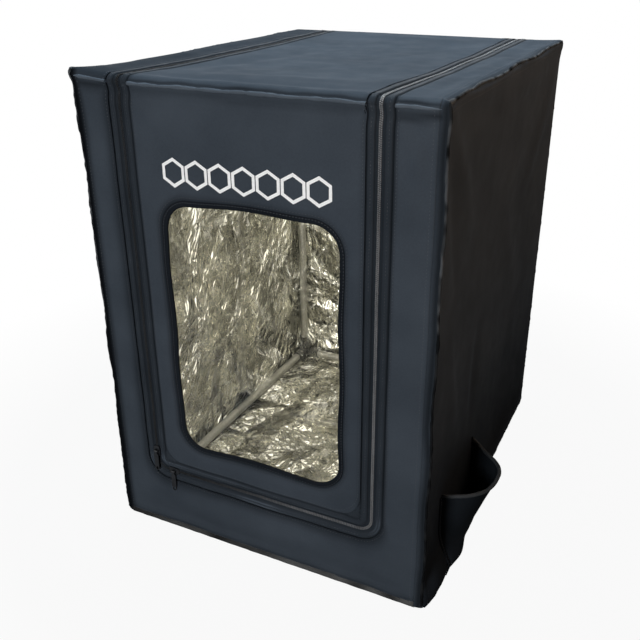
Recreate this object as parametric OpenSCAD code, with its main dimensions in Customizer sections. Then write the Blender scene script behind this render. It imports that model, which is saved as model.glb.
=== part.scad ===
// Printer enclosure tent: a zipped cloth cover with a foil lining over a plugged tube frame
// Millimetres, Z is up, the door faces -Y, the origin is the middle of the base

/* [Tent] */
// Width of the cover
tent_w = 535; // [480:5:700]
// Depth of the cover
tent_d = 660; // [560:5:800]
// Height of the cover
tent_h = 745; // [680:5:950]
// Radius of the cover's rounded edges
edge_r = 10; // [8:0.5:12]

/* [Cloth] */
// Thickness of the outer cloth
cloth_t = 1.5; // [1.2:0.1:2]
// Thickness of the foil lining
foil_t = 0.5; // [0.3:0.1:0.8]

/* [Frame] */
// Outer diameter of the frame tubes
tube_od = 16; // [13:0.5:19]
// Wall thickness of the frame tubes
tube_wall = 0.8; // [0.6:0.1:1.5]
// Depth each tube plugs into its socket
socket_depth = 26; // [18:1:36]
// Wall thickness of the sockets
socket_wall = 1.9; // [1.5:0.1:2.5]
// Thickness of the webs between the sockets
web_t = 3; // [2:0.5:4]

/* [Zip] */
// Distance of each upright zip from the side of the window
zip_border = 54; // [48:1:58]
// Height of the bottom zip above the base
zip_z = 120; // [100:1:130]
// Corner radius of the zip line
zip_r = 20; // [16:1:30]
// Half width of the bare band between the two cloth edges
band_half = 18; // [15:0.5:20]
// How far the tape is tucked behind the cloth edges
tape_tuck = 6; // [4:0.5:7]
// Thickness of the zip tape
tape_t = 0.5; // [0.4:0.1:0.8]
// Width of one row of teeth
teeth_w = 3; // [2.5:0.1:3.5]
// Thickness of the rows of teeth
teeth_t = 2.6; // [2.2:0.1:3]
// Slot between the two rows in which the slider's post runs
teeth_gap = 2.4; // [2:0.1:3]
// Corner radius of the door's cloth edge
door_r = 35; // [25:1:40]

/* [Window] */
// Width of the clear opening
window_w = 270; // [200:5:280]
// Height of the clear opening
window_h = 400; // [300:5:440]
// Height of the opening's lower edge above the base
window_z = 180; // [175:1:200]
// Corner radius of the opening
window_r = 38; // [25:1:50]
// How far the pane reaches behind the cloth
window_seam = 15; // [10:1:16]
// Thickness of the clear pane
pane_t = 0.5; // [0.3:0.1:0.8]
// Width of the raised welt round the opening
welt_w = 8; // [5:0.5:10]
// Height of the raised welts
welt_t = 1.2; // [0.8:0.1:1.5]

/* [Pocket] */
// Inner width of the pouch
pocket_w = 160; // [120:5:200]
// Inner height of the pouch
pocket_h = 131; // [100:1:180]
// How far the mouth gapes
pocket_gape = 64; // [40:1:80]
// How far the pouch stands out near its base
pocket_base = 24; // [15:1:35]
// Width of the sewn flange round the pouch
pocket_seam = 8; // [6:0.5:10]
// Distance of the flange from the cover's front
pocket_front = 77; // [40:1:120]
// Height of the flange above the rounded lower edge
pocket_lift = 1.5; // [1:0.5:40]
// Height of the hem on the mouth
hem_h = 4; // [3:0.5:6]
// How far the hem stands proud of the pouch
hem_out = 0.8; // [0.5:0.1:1.5]

/* [Cable port] */
// Width of the port
port_w = 100; // [60:5:120]
// Height of the port
port_h = 40; // [30:1:50]
// Distance of the port from the middle, towards +X
port_x = 120; // [-150:5:150]
// Height of the port's middle above the base
port_z = 64; // [55:1:200]
// Corner radius of the binding round the port
port_r = 6; // [3:0.5:10]

/* [Sliders] */
// Length of a slider
slider_l = 18; // [16:0.5:22]
// Width of a slider at its shoulder
slider_w = 12.4; // [12:0.2:14]
// Thickness of a slider's plates
plate_t = 1.6; // [1.2:0.1:2]
// Clearance of the moving parts of the zip
play = 0.3; // [0.25:0.05:0.4]
// Diameter of the pin that carries a pull
pin_d = 1.8; // [1.6:0.1:2.4]
// Length of a pull below its pin
pull_l = 36; // [28:1:45]
// Width of a pull
pull_w = 8; // [7:0.5:10]
// Thickness of a pull
pull_t = 1.6; // [1.2:0.1:2]

/* [Hidden] */
$fn = 48;

// Clearance between the frame and the lining
seat_gap = 0.3;
// Radial clearance of a tube in its socket
plug_gap = 0.1;
// Length by which cutting bodies run past a face
past = 1;

half_w = tent_w / 2;
half_d = tent_d / 2;
cover_t = cloth_t + foil_t;
flat_x = half_w - edge_r;
flat_y = half_d - edge_r;
shoulder_z = tent_h - edge_r;

bore_r = tube_od / 2 + plug_gap;
socket_r = bore_r + socket_wall;
core_r = socket_r + 0.6;
inset = cover_t + seat_gap + core_r;
post_x = half_w - inset;
post_y = half_d - inset;
bore_start = bore_r + 4;
socket_end = bore_start + socket_depth;
web_reach = bore_start + 18;

teeth_in = teeth_gap / 2;
teeth_out = teeth_in + teeth_w;
tape_end = band_half + tape_tuck;
tape_deep = cloth_t + tape_t;
teeth_top = cloth_t + tape_t / 2 - teeth_t / 2;
teeth_bottom = teeth_top + teeth_t;
zip_x = window_w / 2 + zip_border;
door_half = zip_x - band_half;
window_mid = window_z + window_h / 2;

pouch_low = edge_r + pocket_lift + pocket_seam + cloth_t;
pouch_top = pouch_low + pocket_h;
pouch_half = pocket_w / 2;
pouch_y = -half_d + pocket_front + pocket_seam + cloth_t + pouch_half;

port_left = port_x - port_w / 2;
port_right = port_x + port_w / 2;
port_low = port_z - port_h / 2;
port_top = port_z + port_h / 2;

pin_r = pin_d / 2;
eye_r = pin_r + play + 0.9;
eye_w = 3.4;
plate_in = teeth_top - play;
plate_out = plate_in - plate_t;
pin_out = eye_r + 0.4 - plate_out;
slider_start = zip_r + 2 + slider_l / 2;
slider_deep = teeth_bottom + play;

cloth_colour = "#2b303a";
foil_colour = "#c9c8c2";
tape_colour = "#16171a";
teeth_colour = "#8b8e94";
tube_colour = "#c4c6c4";
plastic_colour = "#1d1e20";
metal_colour = "#3a3c40";

// Points of an arc
function arc(c, r, a0, a1, n = 6) =
    [for (i = [0:n]) c + r * [cos(a0 + (a1 - a0) * i / n), sin(a0 + (a1 - a0) * i / n)]];

// Rectangle with round corners, centred
function round_rect(w, h, r) = concat(
    arc([w / 2 - r, h / 2 - r], r, 0, 90),
    arc([r - w / 2, h / 2 - r], r, 90, 180),
    arc([r - w / 2, r - h / 2], r, 180, 270),
    arc([w / 2 - r, r - h / 2], r, 270, 360));

// Doorway outline, square at the top and round at the two lower corners
function doorway(half, low, high, r) = concat(
    [[half, high], [-half, high]],
    arc([r - half, low + r], r, 180, 270),
    arc([half - r, low + r], r, 270, 360));

// Box between two opposite corners
module box(a, b) {
    translate(a)
        cube(b - a);
}

// Plate with an XZ outline, from y0 to y1
module wall_plate(y0, y1) {
    translate([0, y1, 0])
        rotate([90, 0, 0])
            linear_extrude(y1 - y0)
                children();
}

// Bar with a YZ outline, from x0 to x1
module side_bar(x0, x1) {
    translate([x0, 0, 0])
        rotate([90, 0, 90])
            linear_extrude(x1 - x0)
                children();
}

// Rounded block of the cover at a depth below its outer face
module block(deep) {
    w = tent_w - 2 * deep;
    d = tent_d - 2 * deep;
    h = tent_h - 2 * deep;
    r = edge_r - deep;
    intersection() {
        translate([0, 0, deep])
            linear_extrude(h)
                polygon(round_rect(w, d, r));
        translate([0, 0, tent_h / 2])
            wall_plate(-d / 2, d / 2)
                polygon(round_rect(w, h, r));
        translate([0, 0, tent_h / 2])
            side_bar(-w / 2, w / 2)
                polygon(round_rect(d, h, r));
    }
}

// Part of one layer of the cover inside a box
module sewn(deep0, deep1, a, b) {
    intersection() {
        difference() {
            block(deep0);
            block(deep1);
        }
        box(a, b);
    }
}

module side_sheet(side, deep0, deep1) {
    x0 = side < 0 ? -half_w - past : flat_x;
    x1 = side < 0 ? -flat_x : half_w + past;
    sewn(deep0, deep1, [x0, -half_d - past, -past], [x1, half_d + past, tent_h + past]);
}

// Part of the back sheet between two edges and two heights
module back_sheet(deep0, deep1, x0, x1, z0, z1) {
    sewn(deep0, deep1, [x0, flat_y, z0], [x1, half_d + past, z1]);
}

// Front sheet round the doorway, kept clear of the zip line by a margin
module front_sheet(deep0, deep1, margin) {
    difference() {
        sewn(deep0, deep1, [-flat_x, -half_d - past, -past], [flat_x, -flat_y, tent_h + past]);
        wall_plate(-half_d - past, past - flat_y)
            polygon(doorway(zip_x + margin, zip_z - margin, tent_h + past, zip_r + margin));
    }
}

module roof_strip(side, deep0, deep1, margin) {
    x0 = side < 0 ? -flat_x : zip_x + margin;
    x1 = side < 0 ? -zip_x - margin : flat_x;
    box([x0, -flat_y, tent_h - deep1], [x1, flat_y, tent_h - deep0]);
}

// Strip that turns over the front top edge
module edge_bend(x0, x1, deep0, deep1) {
    translate([0, -flat_y, shoulder_z])
        side_bar(x0, x1)
            polygon(concat(
                arc([0, 0], edge_r - deep0, 90, 180),
                arc([0, 0], edge_r - deep1, 180, 90)));
}

// Strip of the zip that runs back along the roof from the bend
module over_run(x0, x1, deep0, deep1) {
    edge_bend(x0, x1, deep0, deep1);
    box([x0, -flat_y, tent_h - deep1], [x1, flat_y, tent_h - deep0]);
}

// Strip of the zip on the cover, outside the zip line
module fixed_strip(side0, side1, deep0, deep1) {
    wall_plate(deep0 - half_d, deep1 - half_d)
        difference() {
            polygon(doorway(zip_x + side1, zip_z - side1, shoulder_z, zip_r + side1));
            polygon(doorway(zip_x + side0, zip_z - side0, shoulder_z + past, zip_r + side0));
        }
    over_run(-zip_x - side1, -zip_x - side0, deep0, deep1);
    over_run(zip_x + side0, zip_x + side1, deep0, deep1);
}

// Strip of the zip on the door, inside the zip line
module door_strip(side0, side1, deep0, deep1, inner_r) {
    wall_plate(deep0 - half_d, deep1 - half_d)
        difference() {
            polygon(doorway(zip_x - side0, zip_z + side0, shoulder_z, zip_r - side0));
            polygon(doorway(zip_x - side1, zip_z + side1, shoulder_z + past, inner_r));
        }
}

// Strips of the zip on the roof flap
module flap_strips(side0, side1, deep0, deep1) {
    over_run(-zip_x + side0, -zip_x + side1, deep0, deep1);
    over_run(zip_x - side1, zip_x - side0, deep0, deep1);
}

// Cover

module left_wall() {
    color(cloth_colour)
        side_sheet(-1, 0, cloth_t);
}

module right_wall() {
    color(cloth_colour)
        side_sheet(1, 0, cloth_t);
}

module back_wall() {
    color(cloth_colour)
        back_sheet(0, cloth_t, -flat_x, flat_x, port_top, tent_h + past);
}

module back_band_left() {
    color(cloth_colour)
        back_sheet(0, cloth_t, -flat_x, port_left, -past, port_top);
}

module back_band_right() {
    color(cloth_colour)
        back_sheet(0, cloth_t, port_right, flat_x, -past, port_top);
}

module back_band_sill() {
    color(cloth_colour)
        back_sheet(0, cloth_t, port_left, port_right, -past, port_low);
}

module floor_panel() {
    color(cloth_colour)
        box([-flat_x, -flat_y, 0], [flat_x, flat_y, cloth_t]);
}

module front_surround() {
    color(cloth_colour)
        front_sheet(0, cloth_t, band_half);
}

module roof_strip_left() {
    color(cloth_colour)
        roof_strip(-1, 0, cloth_t, band_half);
}

module roof_strip_right() {
    color(cloth_colour)
        roof_strip(1, 0, cloth_t, band_half);
}

module left_lining() {
    color(foil_colour)
        side_sheet(-1, cloth_t, cover_t);
}

module right_lining() {
    color(foil_colour)
        side_sheet(1, cloth_t, cover_t);
}

module back_lining() {
    color(foil_colour)
        difference() {
            back_sheet(cloth_t, cover_t, -flat_x, flat_x, -past, tent_h + past);
            box([port_left, flat_y, port_low], [port_right, half_d + past, port_top]);
        }
}

module floor_lining() {
    color(foil_colour)
        box([-flat_x, -flat_y, cloth_t], [flat_x, flat_y, cover_t]);
}

module surround_lining() {
    color(foil_colour)
        front_sheet(cloth_t, cover_t, tape_end);
}

module roof_strip_left_lining() {
    color(foil_colour)
        roof_strip(-1, cloth_t, cover_t, tape_end);
}

module roof_strip_right_lining() {
    color(foil_colour)
        roof_strip(1, cloth_t, cover_t, tape_end);
}

module fixed_zip_tape() {
    color(tape_colour)
        fixed_strip(teeth_out, tape_end, cloth_t, tape_deep);
}

module fixed_zip_teeth() {
    color(teeth_colour)
        fixed_strip(teeth_in, teeth_out, teeth_top, teeth_bottom);
}

// Pouch section at a height: s runs 0 to 1 across, v runs 0 to 1 up, skin is 0 inside and 1 outside
function pouch_depth(v) =
    (pocket_base + (pocket_gape - pocket_base) * v) * sqrt(1 - pow(1 - min(v / 0.16, 1), 2));
function pouch_point(s, v, skin) =
    let (a = 180 * s, t = cloth_t * skin, bulge = (pouch_depth(v) + t) * sin(a))
    [half_w + max(t, bulge), pouch_y - (pouch_half + t) * cos(a), pouch_low - t + v * (pocket_h + t)];
function flange_point(end, v, skin) =
    [half_w + cloth_t * skin, pouch_y + end * (pouch_half + cloth_t + pocket_seam),
        pouch_low - cloth_t * skin + v * (pocket_h + cloth_t * skin)];
function foot_point(p, skin) = [half_w + cloth_t * skin, p[1], pouch_low - cloth_t - pocket_seam];
function pouch_row(v, skin) = concat(
    [flange_point(-1, v, skin)],
    [for (i = [0:pouch_cols]) pouch_point(i / pouch_cols, v, skin)],
    [flange_point(1, v, skin)]);
function pouch_sheet(skin) = concat(
    [for (p = pouch_row(0, skin)) foot_point(p, skin)],
    [for (j = [0:pouch_rows]) each pouch_row(pow(j / pouch_rows, 1.5), skin)]);
pouch_cols = 24;
pouch_rows = 12;
pouch_n = pouch_cols + 3;
pouch_m = pouch_rows + 2;

module side_pocket() {
    count = pouch_n * pouch_m;
    last = pouch_n * (pouch_m - 1);
    color(cloth_colour)
        polyhedron(
            points = concat(pouch_sheet(1), pouch_sheet(0)),
            faces = concat(
                [for (j = [0:pouch_m - 2], i = [0:pouch_n - 2]) let (k = j * pouch_n + i)
                    each [[k, k + pouch_n, k + 1], [k + 1, k + pouch_n, k + pouch_n + 1]]],
                [for (j = [0:pouch_m - 2], i = [0:pouch_n - 2]) let (k = count + j * pouch_n + i)
                    each [[k, k + 1, k + pouch_n], [k + 1, k + pouch_n + 1, k + pouch_n]]],
                [for (i = [0:pouch_n - 2])
                    each [[i, i + 1, count + i + 1], [i, count + i + 1, count + i]]],
                [for (i = [0:pouch_n - 2]) let (k = last + i)
                    each [[k, count + k + 1, k + 1], [k, count + k, count + k + 1]]],
                [for (j = [0:pouch_m - 2]) let (k = j * pouch_n)
                    each [[k, count + k, count + k + pouch_n], [k, count + k + pouch_n, k + pouch_n]]],
                [for (j = [0:pouch_m - 2]) let (k = j * pouch_n + pouch_n - 1)
                    each [[k, k + pouch_n, count + k + pouch_n], [k, count + k + pouch_n, count + k]]]));
}

// Half oval from the wall outwards
function half_oval(out, across, n = 32) =
    [for (i = [0:n]) [half_w + out * sin(180 * i / n), pouch_y - across * cos(180 * i / n)]];

module pocket_hem() {
    grow = cloth_t + hem_out;
    color(tape_colour)
        translate([0, 0, pouch_top])
            linear_extrude(hem_h)
                difference() {
                    polygon(half_oval(pocket_gape + grow, pouch_half + grow));
                    polygon(half_oval(pocket_gape - hem_out, pouch_half - hem_out));
                }
}

module cable_port_welt() {
    color(tape_colour)
        wall_plate(half_d, half_d + welt_t)
            translate([port_x, port_z])
                difference() {
                    polygon(round_rect(port_w + 2 * welt_w, port_h + 2 * welt_w, port_r + welt_w));
                    polygon(round_rect(port_w, port_h, port_r));
                }
}

// Frame

module tube(length) {
    difference() {
        cylinder(h = length, d = tube_od);
        translate([0, 0, -past])
            cylinder(h = length + 2 * past, d = tube_od - 2 * tube_wall);
    }
}

module upright(sx, sy) {
    color(tube_colour)
        translate([sx * post_x, sy * post_y, inset + bore_start])
            tube(tent_h - 2 * (inset + bore_start));
}

module width_rail(sy, z) {
    color(tube_colour)
        translate([bore_start - post_x, sy * post_y, z])
            rotate([0, 90, 0])
                tube(2 * (post_x - bore_start));
}

module depth_rail(sx, z) {
    color(tube_colour)
        translate([sx * post_x, post_y - bore_start, z])
            rotate([90, 0, 0])
                tube(2 * (post_y - bore_start));
}

// Turns a body that points up into the three directions of a corner
module three_ways() {
    children();
    rotate([0, 90, 0])
        children();
    rotate([-90, 0, 0])
        children();
}

module web() {
    translate([0, 0, -web_t / 2])
        linear_extrude(web_t)
            polygon([[0, 0], [web_reach, 0], [0, web_reach]]);
}

module connector() {
    difference() {
        union() {
            sphere(r = core_r);
            three_ways()
                cylinder(h = socket_end, r = socket_r);
            web();
            rotate([90, 0, 0])
                web();
            rotate([0, -90, 0])
                web();
        }
        three_ways()
            translate([0, 0, bore_start])
                cylinder(h = socket_depth + past, r = bore_r);
    }
}

module corner(sx, sy, sz) {
    color(plastic_colour)
        translate([sx * post_x, sy * post_y, sz < 0 ? inset : tent_h - inset])
            mirror([sx > 0 ? 1 : 0, 0, 0])
                mirror([0, sy > 0 ? 1 : 0, 0])
                    mirror([0, 0, sz > 0 ? 1 : 0])
                        connector();
}

module upright_front_left() {
    upright(-1, -1);
}

module upright_front_right() {
    upright(1, -1);
}

module upright_back_left() {
    upright(-1, 1);
}

module upright_back_right() {
    upright(1, 1);
}

module base_rail_front() {
    width_rail(-1, inset);
}

module base_rail_back() {
    width_rail(1, inset);
}

module base_rail_left() {
    depth_rail(-1, inset);
}

module base_rail_right() {
    depth_rail(1, inset);
}

module top_rail_front() {
    width_rail(-1, tent_h - inset);
}

module top_rail_back() {
    width_rail(1, tent_h - inset);
}

module top_rail_left() {
    depth_rail(-1, tent_h - inset);
}

module top_rail_right() {
    depth_rail(1, tent_h - inset);
}

module corner_front_left_low() {
    corner(-1, -1, -1);
}

module corner_front_right_low() {
    corner(1, -1, -1);
}

module corner_back_left_low() {
    corner(-1, 1, -1);
}

module corner_back_right_low() {
    corner(1, 1, -1);
}

module corner_front_left_top() {
    corner(-1, -1, 1);
}

module corner_front_right_top() {
    corner(1, -1, 1);
}

module corner_back_left_top() {
    corner(-1, 1, 1);
}

module corner_back_right_top() {
    corner(1, 1, 1);
}

// Roof flap

module roof_panel() {
    color(cloth_colour)
        box([-door_half, -flat_y, tent_h - cloth_t], [door_half, flat_y, tent_h]);
}

module roof_lining() {
    half = zip_x - tape_end;
    color(foil_colour)
        box([-half, -flat_y, tent_h - cover_t], [half, flat_y, tent_h - cloth_t]);
}

module front_fold() {
    color(cloth_colour)
        edge_bend(-door_half, door_half, 0, cloth_t);
}

module roof_zip_tape() {
    color(tape_colour)
        flap_strips(teeth_out, tape_end, cloth_t, tape_deep);
}

module roof_zip_teeth() {
    color(teeth_colour)
        flap_strips(teeth_in, teeth_out, teeth_top, teeth_bottom);
}

// Front door

module door_panel() {
    color(cloth_colour)
        wall_plate(-half_d, cloth_t - half_d)
            difference() {
                polygon(doorway(door_half, zip_z + band_half, shoulder_z, door_r));
                translate([0, window_mid])
                    polygon(round_rect(window_w, window_h, window_r));
            }
}

module pane_outline() {
    translate([0, window_mid])
        polygon(round_rect(window_w + 2 * window_seam, window_h + 2 * window_seam, window_r + window_seam));
}

module door_lining() {
    color(foil_colour)
        wall_plate(cloth_t - half_d, cover_t - half_d)
            difference() {
                polygon(doorway(zip_x - tape_end, zip_z + tape_end, shoulder_z, door_r));
                pane_outline();
            }
}

module window_pane() {
    color("#cfe0e6", 0.4)
        wall_plate(cloth_t - half_d, cloth_t + pane_t - half_d)
            pane_outline();
}

module window_welt() {
    color(tape_colour)
        wall_plate(-half_d - welt_t, -half_d)
            translate([0, window_mid])
                difference() {
                    polygon(round_rect(window_w + 2 * welt_w, window_h + 2 * welt_w, window_r + welt_w));
                    polygon(round_rect(window_w, window_h, window_r));
                }
}

module door_zip_tape() {
    color(tape_colour)
        door_strip(teeth_out, tape_end, cloth_t, tape_deep, door_r);
}

module door_zip_teeth() {
    color(teeth_colour)
        door_strip(teeth_in, teeth_out, teeth_top, teeth_bottom, zip_r - teeth_out);
}

// Sliders, drawn with X along the pin, Y up and Z outwards from the cover

module at_zip(x, z) {
    translate([x, -half_d, z])
        rotate([90, 0, 0])
            children();
}

// Front plate, back plate on the door's side only, and the post that joins them
module slider_body(door_side) {
    long = slider_l / 2;
    wide = slider_w / 2;
    neck = teeth_out + 0.6;
    post = teeth_in - play;
    translate([0, 0, -plate_in])
        linear_extrude(plate_t)
            polygon([[-long, -wide], [0, -wide], [long, -neck], [long, neck], [0, wide], [-long, wide]]);
    for (s = [-1, 1])
        box([-long, s * wide - (s > 0 ? 1.1 : 0), play - cloth_t], [0, s * wide + (s > 0 ? 0 : 1.1), 0]);
    translate([0, 0, -slider_deep - plate_t])
        linear_extrude(plate_t)
            polygon([[-long, -door_side * post], [0, -door_side * post], [long, -door_side * post],
                [long, door_side * neck], [0, door_side * wide], [-long, door_side * wide]]);
    translate([0, 0, -slider_deep - plate_t / 2])
        linear_extrude(slider_deep + plate_t / 2)
            polygon([[1 - long, 0], [3.5 - long, -post], [6.5 - long, -post * 0.4],
                [6.5 - long, post * 0.4], [3.5 - long, post]]);
}

// Two lugs and the pin for the pull
module pull_lugs() {
    inner = eye_w / 2 + play;
    lug_t = 1.2;
    lug_r = pin_r + 1;
    for (s = [-1, 1])
        translate([s * (inner + lug_t / 2), 0, 0]) {
            translate([0, 0, pin_out])
                rotate([0, 90, 0])
                    cylinder(h = lug_t, r = lug_r, center = true);
            box([-lug_t / 2, -lug_r - 0.5, -plate_out - 0.4], [lug_t / 2, lug_r + 0.5, pin_out - 0.6]);
        }
    translate([0, 0, pin_out])
        rotate([0, 90, 0])
            cylinder(h = 2 * inner + lug_t, r = pin_r, center = true);
}

module pull() {
    wide = pull_w / 2;
    neck = eye_w / 2 - 0.2;
    clear = pin_r + play;
    difference() {
        translate([0, 0, pin_out])
            rotate([0, 90, 0])
                cylinder(h = eye_w, r = eye_r, center = true);
        translate([0, 0, pin_out])
            rotate([0, 90, 0])
                cylinder(h = eye_w + past, r = clear, center = true);
    }
    translate([0, 0, pin_out - pull_t / 2])
        linear_extrude(pull_t)
            difference() {
                polygon(concat(
                    [[neck, -clear - 0.3], [-neck, -clear - 0.3], [-neck, -eye_r - 1.6], [-wide, -eye_r - 4]],
                    arc([0, wide - pull_l], wide, 180, 360, 12),
                    [[wide, -eye_r - 4], [neck, -eye_r - 1.6]]));
                translate([0, wide - pull_l])
                    polygon(round_rect(wide, wide * 1.5, wide * 0.45));
            }
}

module side_slider() {
    color(metal_colour)
        at_zip(-zip_x, zip_z + slider_start) {
            rotate([0, 0, 90])
                slider_body(-1);
            pull_lugs();
        }
}

module side_pull() {
    color(metal_colour)
        at_zip(-zip_x, zip_z + slider_start)
            pull();
}

module bottom_slider() {
    color(metal_colour)
        at_zip(slider_start - zip_x, zip_z) {
            slider_body(1);
            pull_lugs();
        }
}

module bottom_pull() {
    color(metal_colour)
        at_zip(slider_start - zip_x, zip_z)
            pull();
}

left_wall();
right_wall();
back_wall();
back_band_left();
back_band_right();
back_band_sill();
floor_panel();
front_surround();
roof_strip_left();
roof_strip_right();
left_lining();
right_lining();
back_lining();
floor_lining();
surround_lining();
roof_strip_left_lining();
roof_strip_right_lining();
fixed_zip_tape();
fixed_zip_teeth();
side_pocket();
pocket_hem();
cable_port_welt();
upright_front_left();
upright_front_right();
upright_back_left();
upright_back_right();
base_rail_front();
base_rail_back();
base_rail_left();
base_rail_right();
top_rail_front();
top_rail_back();
top_rail_left();
top_rail_right();
corner_front_left_low();
corner_front_right_low();
corner_back_left_low();
corner_back_right_low();
corner_front_left_top();
corner_front_right_top();
corner_back_left_top();
corner_back_right_top();
roof_panel();
roof_lining();
front_fold();
roof_zip_tape();
roof_zip_teeth();
door_panel();
door_lining();
window_pane();
window_welt();
door_zip_tape();
door_zip_teeth();
side_slider();
side_pull();
bottom_slider();
bottom_pull();
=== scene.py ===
import math

import bpy
import numpy as np
from mathutils import Matrix, Vector


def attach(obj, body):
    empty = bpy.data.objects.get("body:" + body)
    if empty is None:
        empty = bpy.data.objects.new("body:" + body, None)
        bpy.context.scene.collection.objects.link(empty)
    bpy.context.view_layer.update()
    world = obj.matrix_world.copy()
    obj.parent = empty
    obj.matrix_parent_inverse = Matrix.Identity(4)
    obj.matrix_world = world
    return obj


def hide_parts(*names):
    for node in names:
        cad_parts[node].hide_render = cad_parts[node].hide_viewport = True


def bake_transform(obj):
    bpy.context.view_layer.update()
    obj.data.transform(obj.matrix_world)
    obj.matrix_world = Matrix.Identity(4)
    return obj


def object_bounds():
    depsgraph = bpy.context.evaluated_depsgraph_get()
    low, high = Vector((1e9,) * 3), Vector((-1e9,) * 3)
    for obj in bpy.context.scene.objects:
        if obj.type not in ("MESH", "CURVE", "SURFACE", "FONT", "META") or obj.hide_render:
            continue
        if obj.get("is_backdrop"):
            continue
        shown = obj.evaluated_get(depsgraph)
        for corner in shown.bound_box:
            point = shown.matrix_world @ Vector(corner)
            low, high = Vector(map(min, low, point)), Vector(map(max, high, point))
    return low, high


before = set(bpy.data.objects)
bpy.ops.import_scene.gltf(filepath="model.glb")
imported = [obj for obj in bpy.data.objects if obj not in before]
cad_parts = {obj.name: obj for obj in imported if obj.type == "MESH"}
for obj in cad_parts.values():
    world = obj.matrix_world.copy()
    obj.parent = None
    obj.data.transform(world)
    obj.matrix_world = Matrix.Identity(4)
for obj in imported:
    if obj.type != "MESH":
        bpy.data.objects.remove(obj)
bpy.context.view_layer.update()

# Driving sizes of the CAD model, in metres
TENT_W, TENT_D, TENT_H = 0.535, 0.660, 0.745
EDGE_R = 0.010
CLOTH = 0.0015
ZIP_BORDER, ZIP_Z, ZIP_R = 0.054, 0.120, 0.020
BAND, TAPE_TUCK, DOOR_R = 0.018, 0.006, 0.035
WIN_W, WIN_H, WIN_Z, WIN_R, WIN_SEAM = 0.270, 0.400, 0.180, 0.038, 0.015
POUCH_W, POUCH_H, POUCH_GAPE = 0.160, 0.131, 0.064
POUCH_FRONT, POUCH_LIFT, POUCH_SEAM = 0.077, 0.0015, 0.008
PORT_X, PORT_Z, PORT_W, PORT_H, PORT_R = 0.120, 0.064, 0.100, 0.040, 0.006

# Places worked out from them
HALF_W, HALF_D = TENT_W / 2, TENT_D / 2
FLAT_X, FLAT_Y, SHOULDER_Z = HALF_W - EDGE_R, HALF_D - EDGE_R, TENT_H - EDGE_R
ZIP_X = WIN_W / 2 + ZIP_BORDER
TAPE_END = BAND + TAPE_TUCK
DOOR_HALF, LINING_HALF = ZIP_X - BAND, ZIP_X - TAPE_END
WIN_MID = WIN_Z + WIN_H / 2
POUCH_HALF = POUCH_W / 2
POUCH_LOW = EDGE_R + POUCH_LIFT + POUCH_SEAM + CLOTH
POUCH_Y = POUCH_FRONT + POUCH_SEAM + CLOTH + POUCH_HALF - HALF_D

# Cloth as it is drawn: share of its thickness, space of the foil behind it, and width of the mesh cells
DRAWN_CLOTH = CLOTH * 0.8
FOIL_DEEP = CLOTH + 0.0002
STEP, FOIL_STEP = 0.0070, 0.0055
# Painted shade on the pocket and on its hem, from 0 to 1
POUCH_PAINTED_SHADE, POUCH_HEM_PAINTED_SHADE = 0.78, 0.35


# Small numeric tools

def smooth(a, b, x):
    t = np.clip((x - a) / (b - a), 0, 1)
    return t * t * (3 - 2 * t)


def bell(d, width):
    return np.exp(-(d / width) ** 2)


def lattice(i, j, k, seed):
    n = (i * 374761393 + j * 668265263 + k * 2147483647 + seed * 974634777) & 0xFFFFFFFF
    n = ((n ^ (n >> 13)) * 1274126177) & 0xFFFFFFFF
    n = ((n ^ (n >> 16)) * 2246822519) & 0xFFFFFFFF
    return ((n ^ (n >> 15)) & 0xFFFF) / 65535.0


def noise(p, size, seed):
    """Smooth value noise from -1 to 1 at points p, with features of that size."""
    q = np.asarray(p, float) / size + 1000.0
    c = np.floor(q).astype(np.int64)
    f = q - c
    f = f * f * (3 - 2 * f)
    out = 0
    for a in (0, 1):
        for b in (0, 1):
            for d in (0, 1):
                shares = [f[:, i] if far else 1 - f[:, i] for i, far in enumerate((a, b, d))]
                w = shares[0] * shares[1] * shares[2]
                out = out + w * lattice(c[:, 0] + a, c[:, 1] + b, c[:, 2] + d, seed)
    return 2 * out - 1


def ridges(u, v, rows):
    """Soft cloth folds: each row is a segment with a width and a height."""
    out = np.zeros_like(u)
    for u0, v0, u1, v1, w, h in rows:
        du, dv = u1 - u0, v1 - v0
        t = np.clip(((u - u0) * du + (v - v0) * dv) / (du * du + dv * dv), 0, 1)
        d2 = (u - u0 - t * du) ** 2 + (v - v0 - t * dv) ** 2
        out += h * np.exp(-d2 / (w * w)) * (0.25 + 0.75 * np.sin(np.pi * (0.08 + 0.84 * t)))
    return out


FRONT_FOLDS = [
    (-0.252, 0.728, -0.214, 0.690, 0.010, 0.0016), (-0.256, 0.690, -0.224, 0.640, 0.012, -0.0012),
    (0.215, 0.726, 0.252, 0.688, 0.010, -0.0016), (0.222, 0.700, 0.250, 0.640, 0.011, 0.0016),
    (0.250, 0.735, 0.225, 0.600, 0.009, 0.0012),
    (-0.168, 0.722, -0.080, 0.706, 0.011, -0.0020), (-0.165, 0.705, -0.110, 0.672, 0.012, 0.0014),
    (0.168, 0.722, 0.070, 0.704, 0.011, -0.0020), (0.168, 0.700, 0.100, 0.664, 0.012, 0.0016),
    (-0.160, 0.180, -0.140, 0.300, 0.012, -0.0010), (0.156, 0.190, 0.160, 0.420, 0.011, -0.0012),
    (-0.130, 0.163, 0.120, 0.160, 0.009, -0.0010),
    (-0.245, 0.090, -0.100, 0.060, 0.016, 0.0022), (-0.060, 0.056, 0.120, 0.070, 0.016, 0.0026),
    (0.120, 0.085, 0.245, 0.060, 0.015, -0.0016), (-0.230, 0.036, 0.060, 0.030, 0.012, -0.0022),
    (0.060, 0.034, 0.240, 0.030, 0.012, -0.0016),
    (-0.240, 0.560, -0.232, 0.250, 0.014, -0.0010), (0.236, 0.560, 0.240, 0.220, 0.014, 0.0012)]
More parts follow.
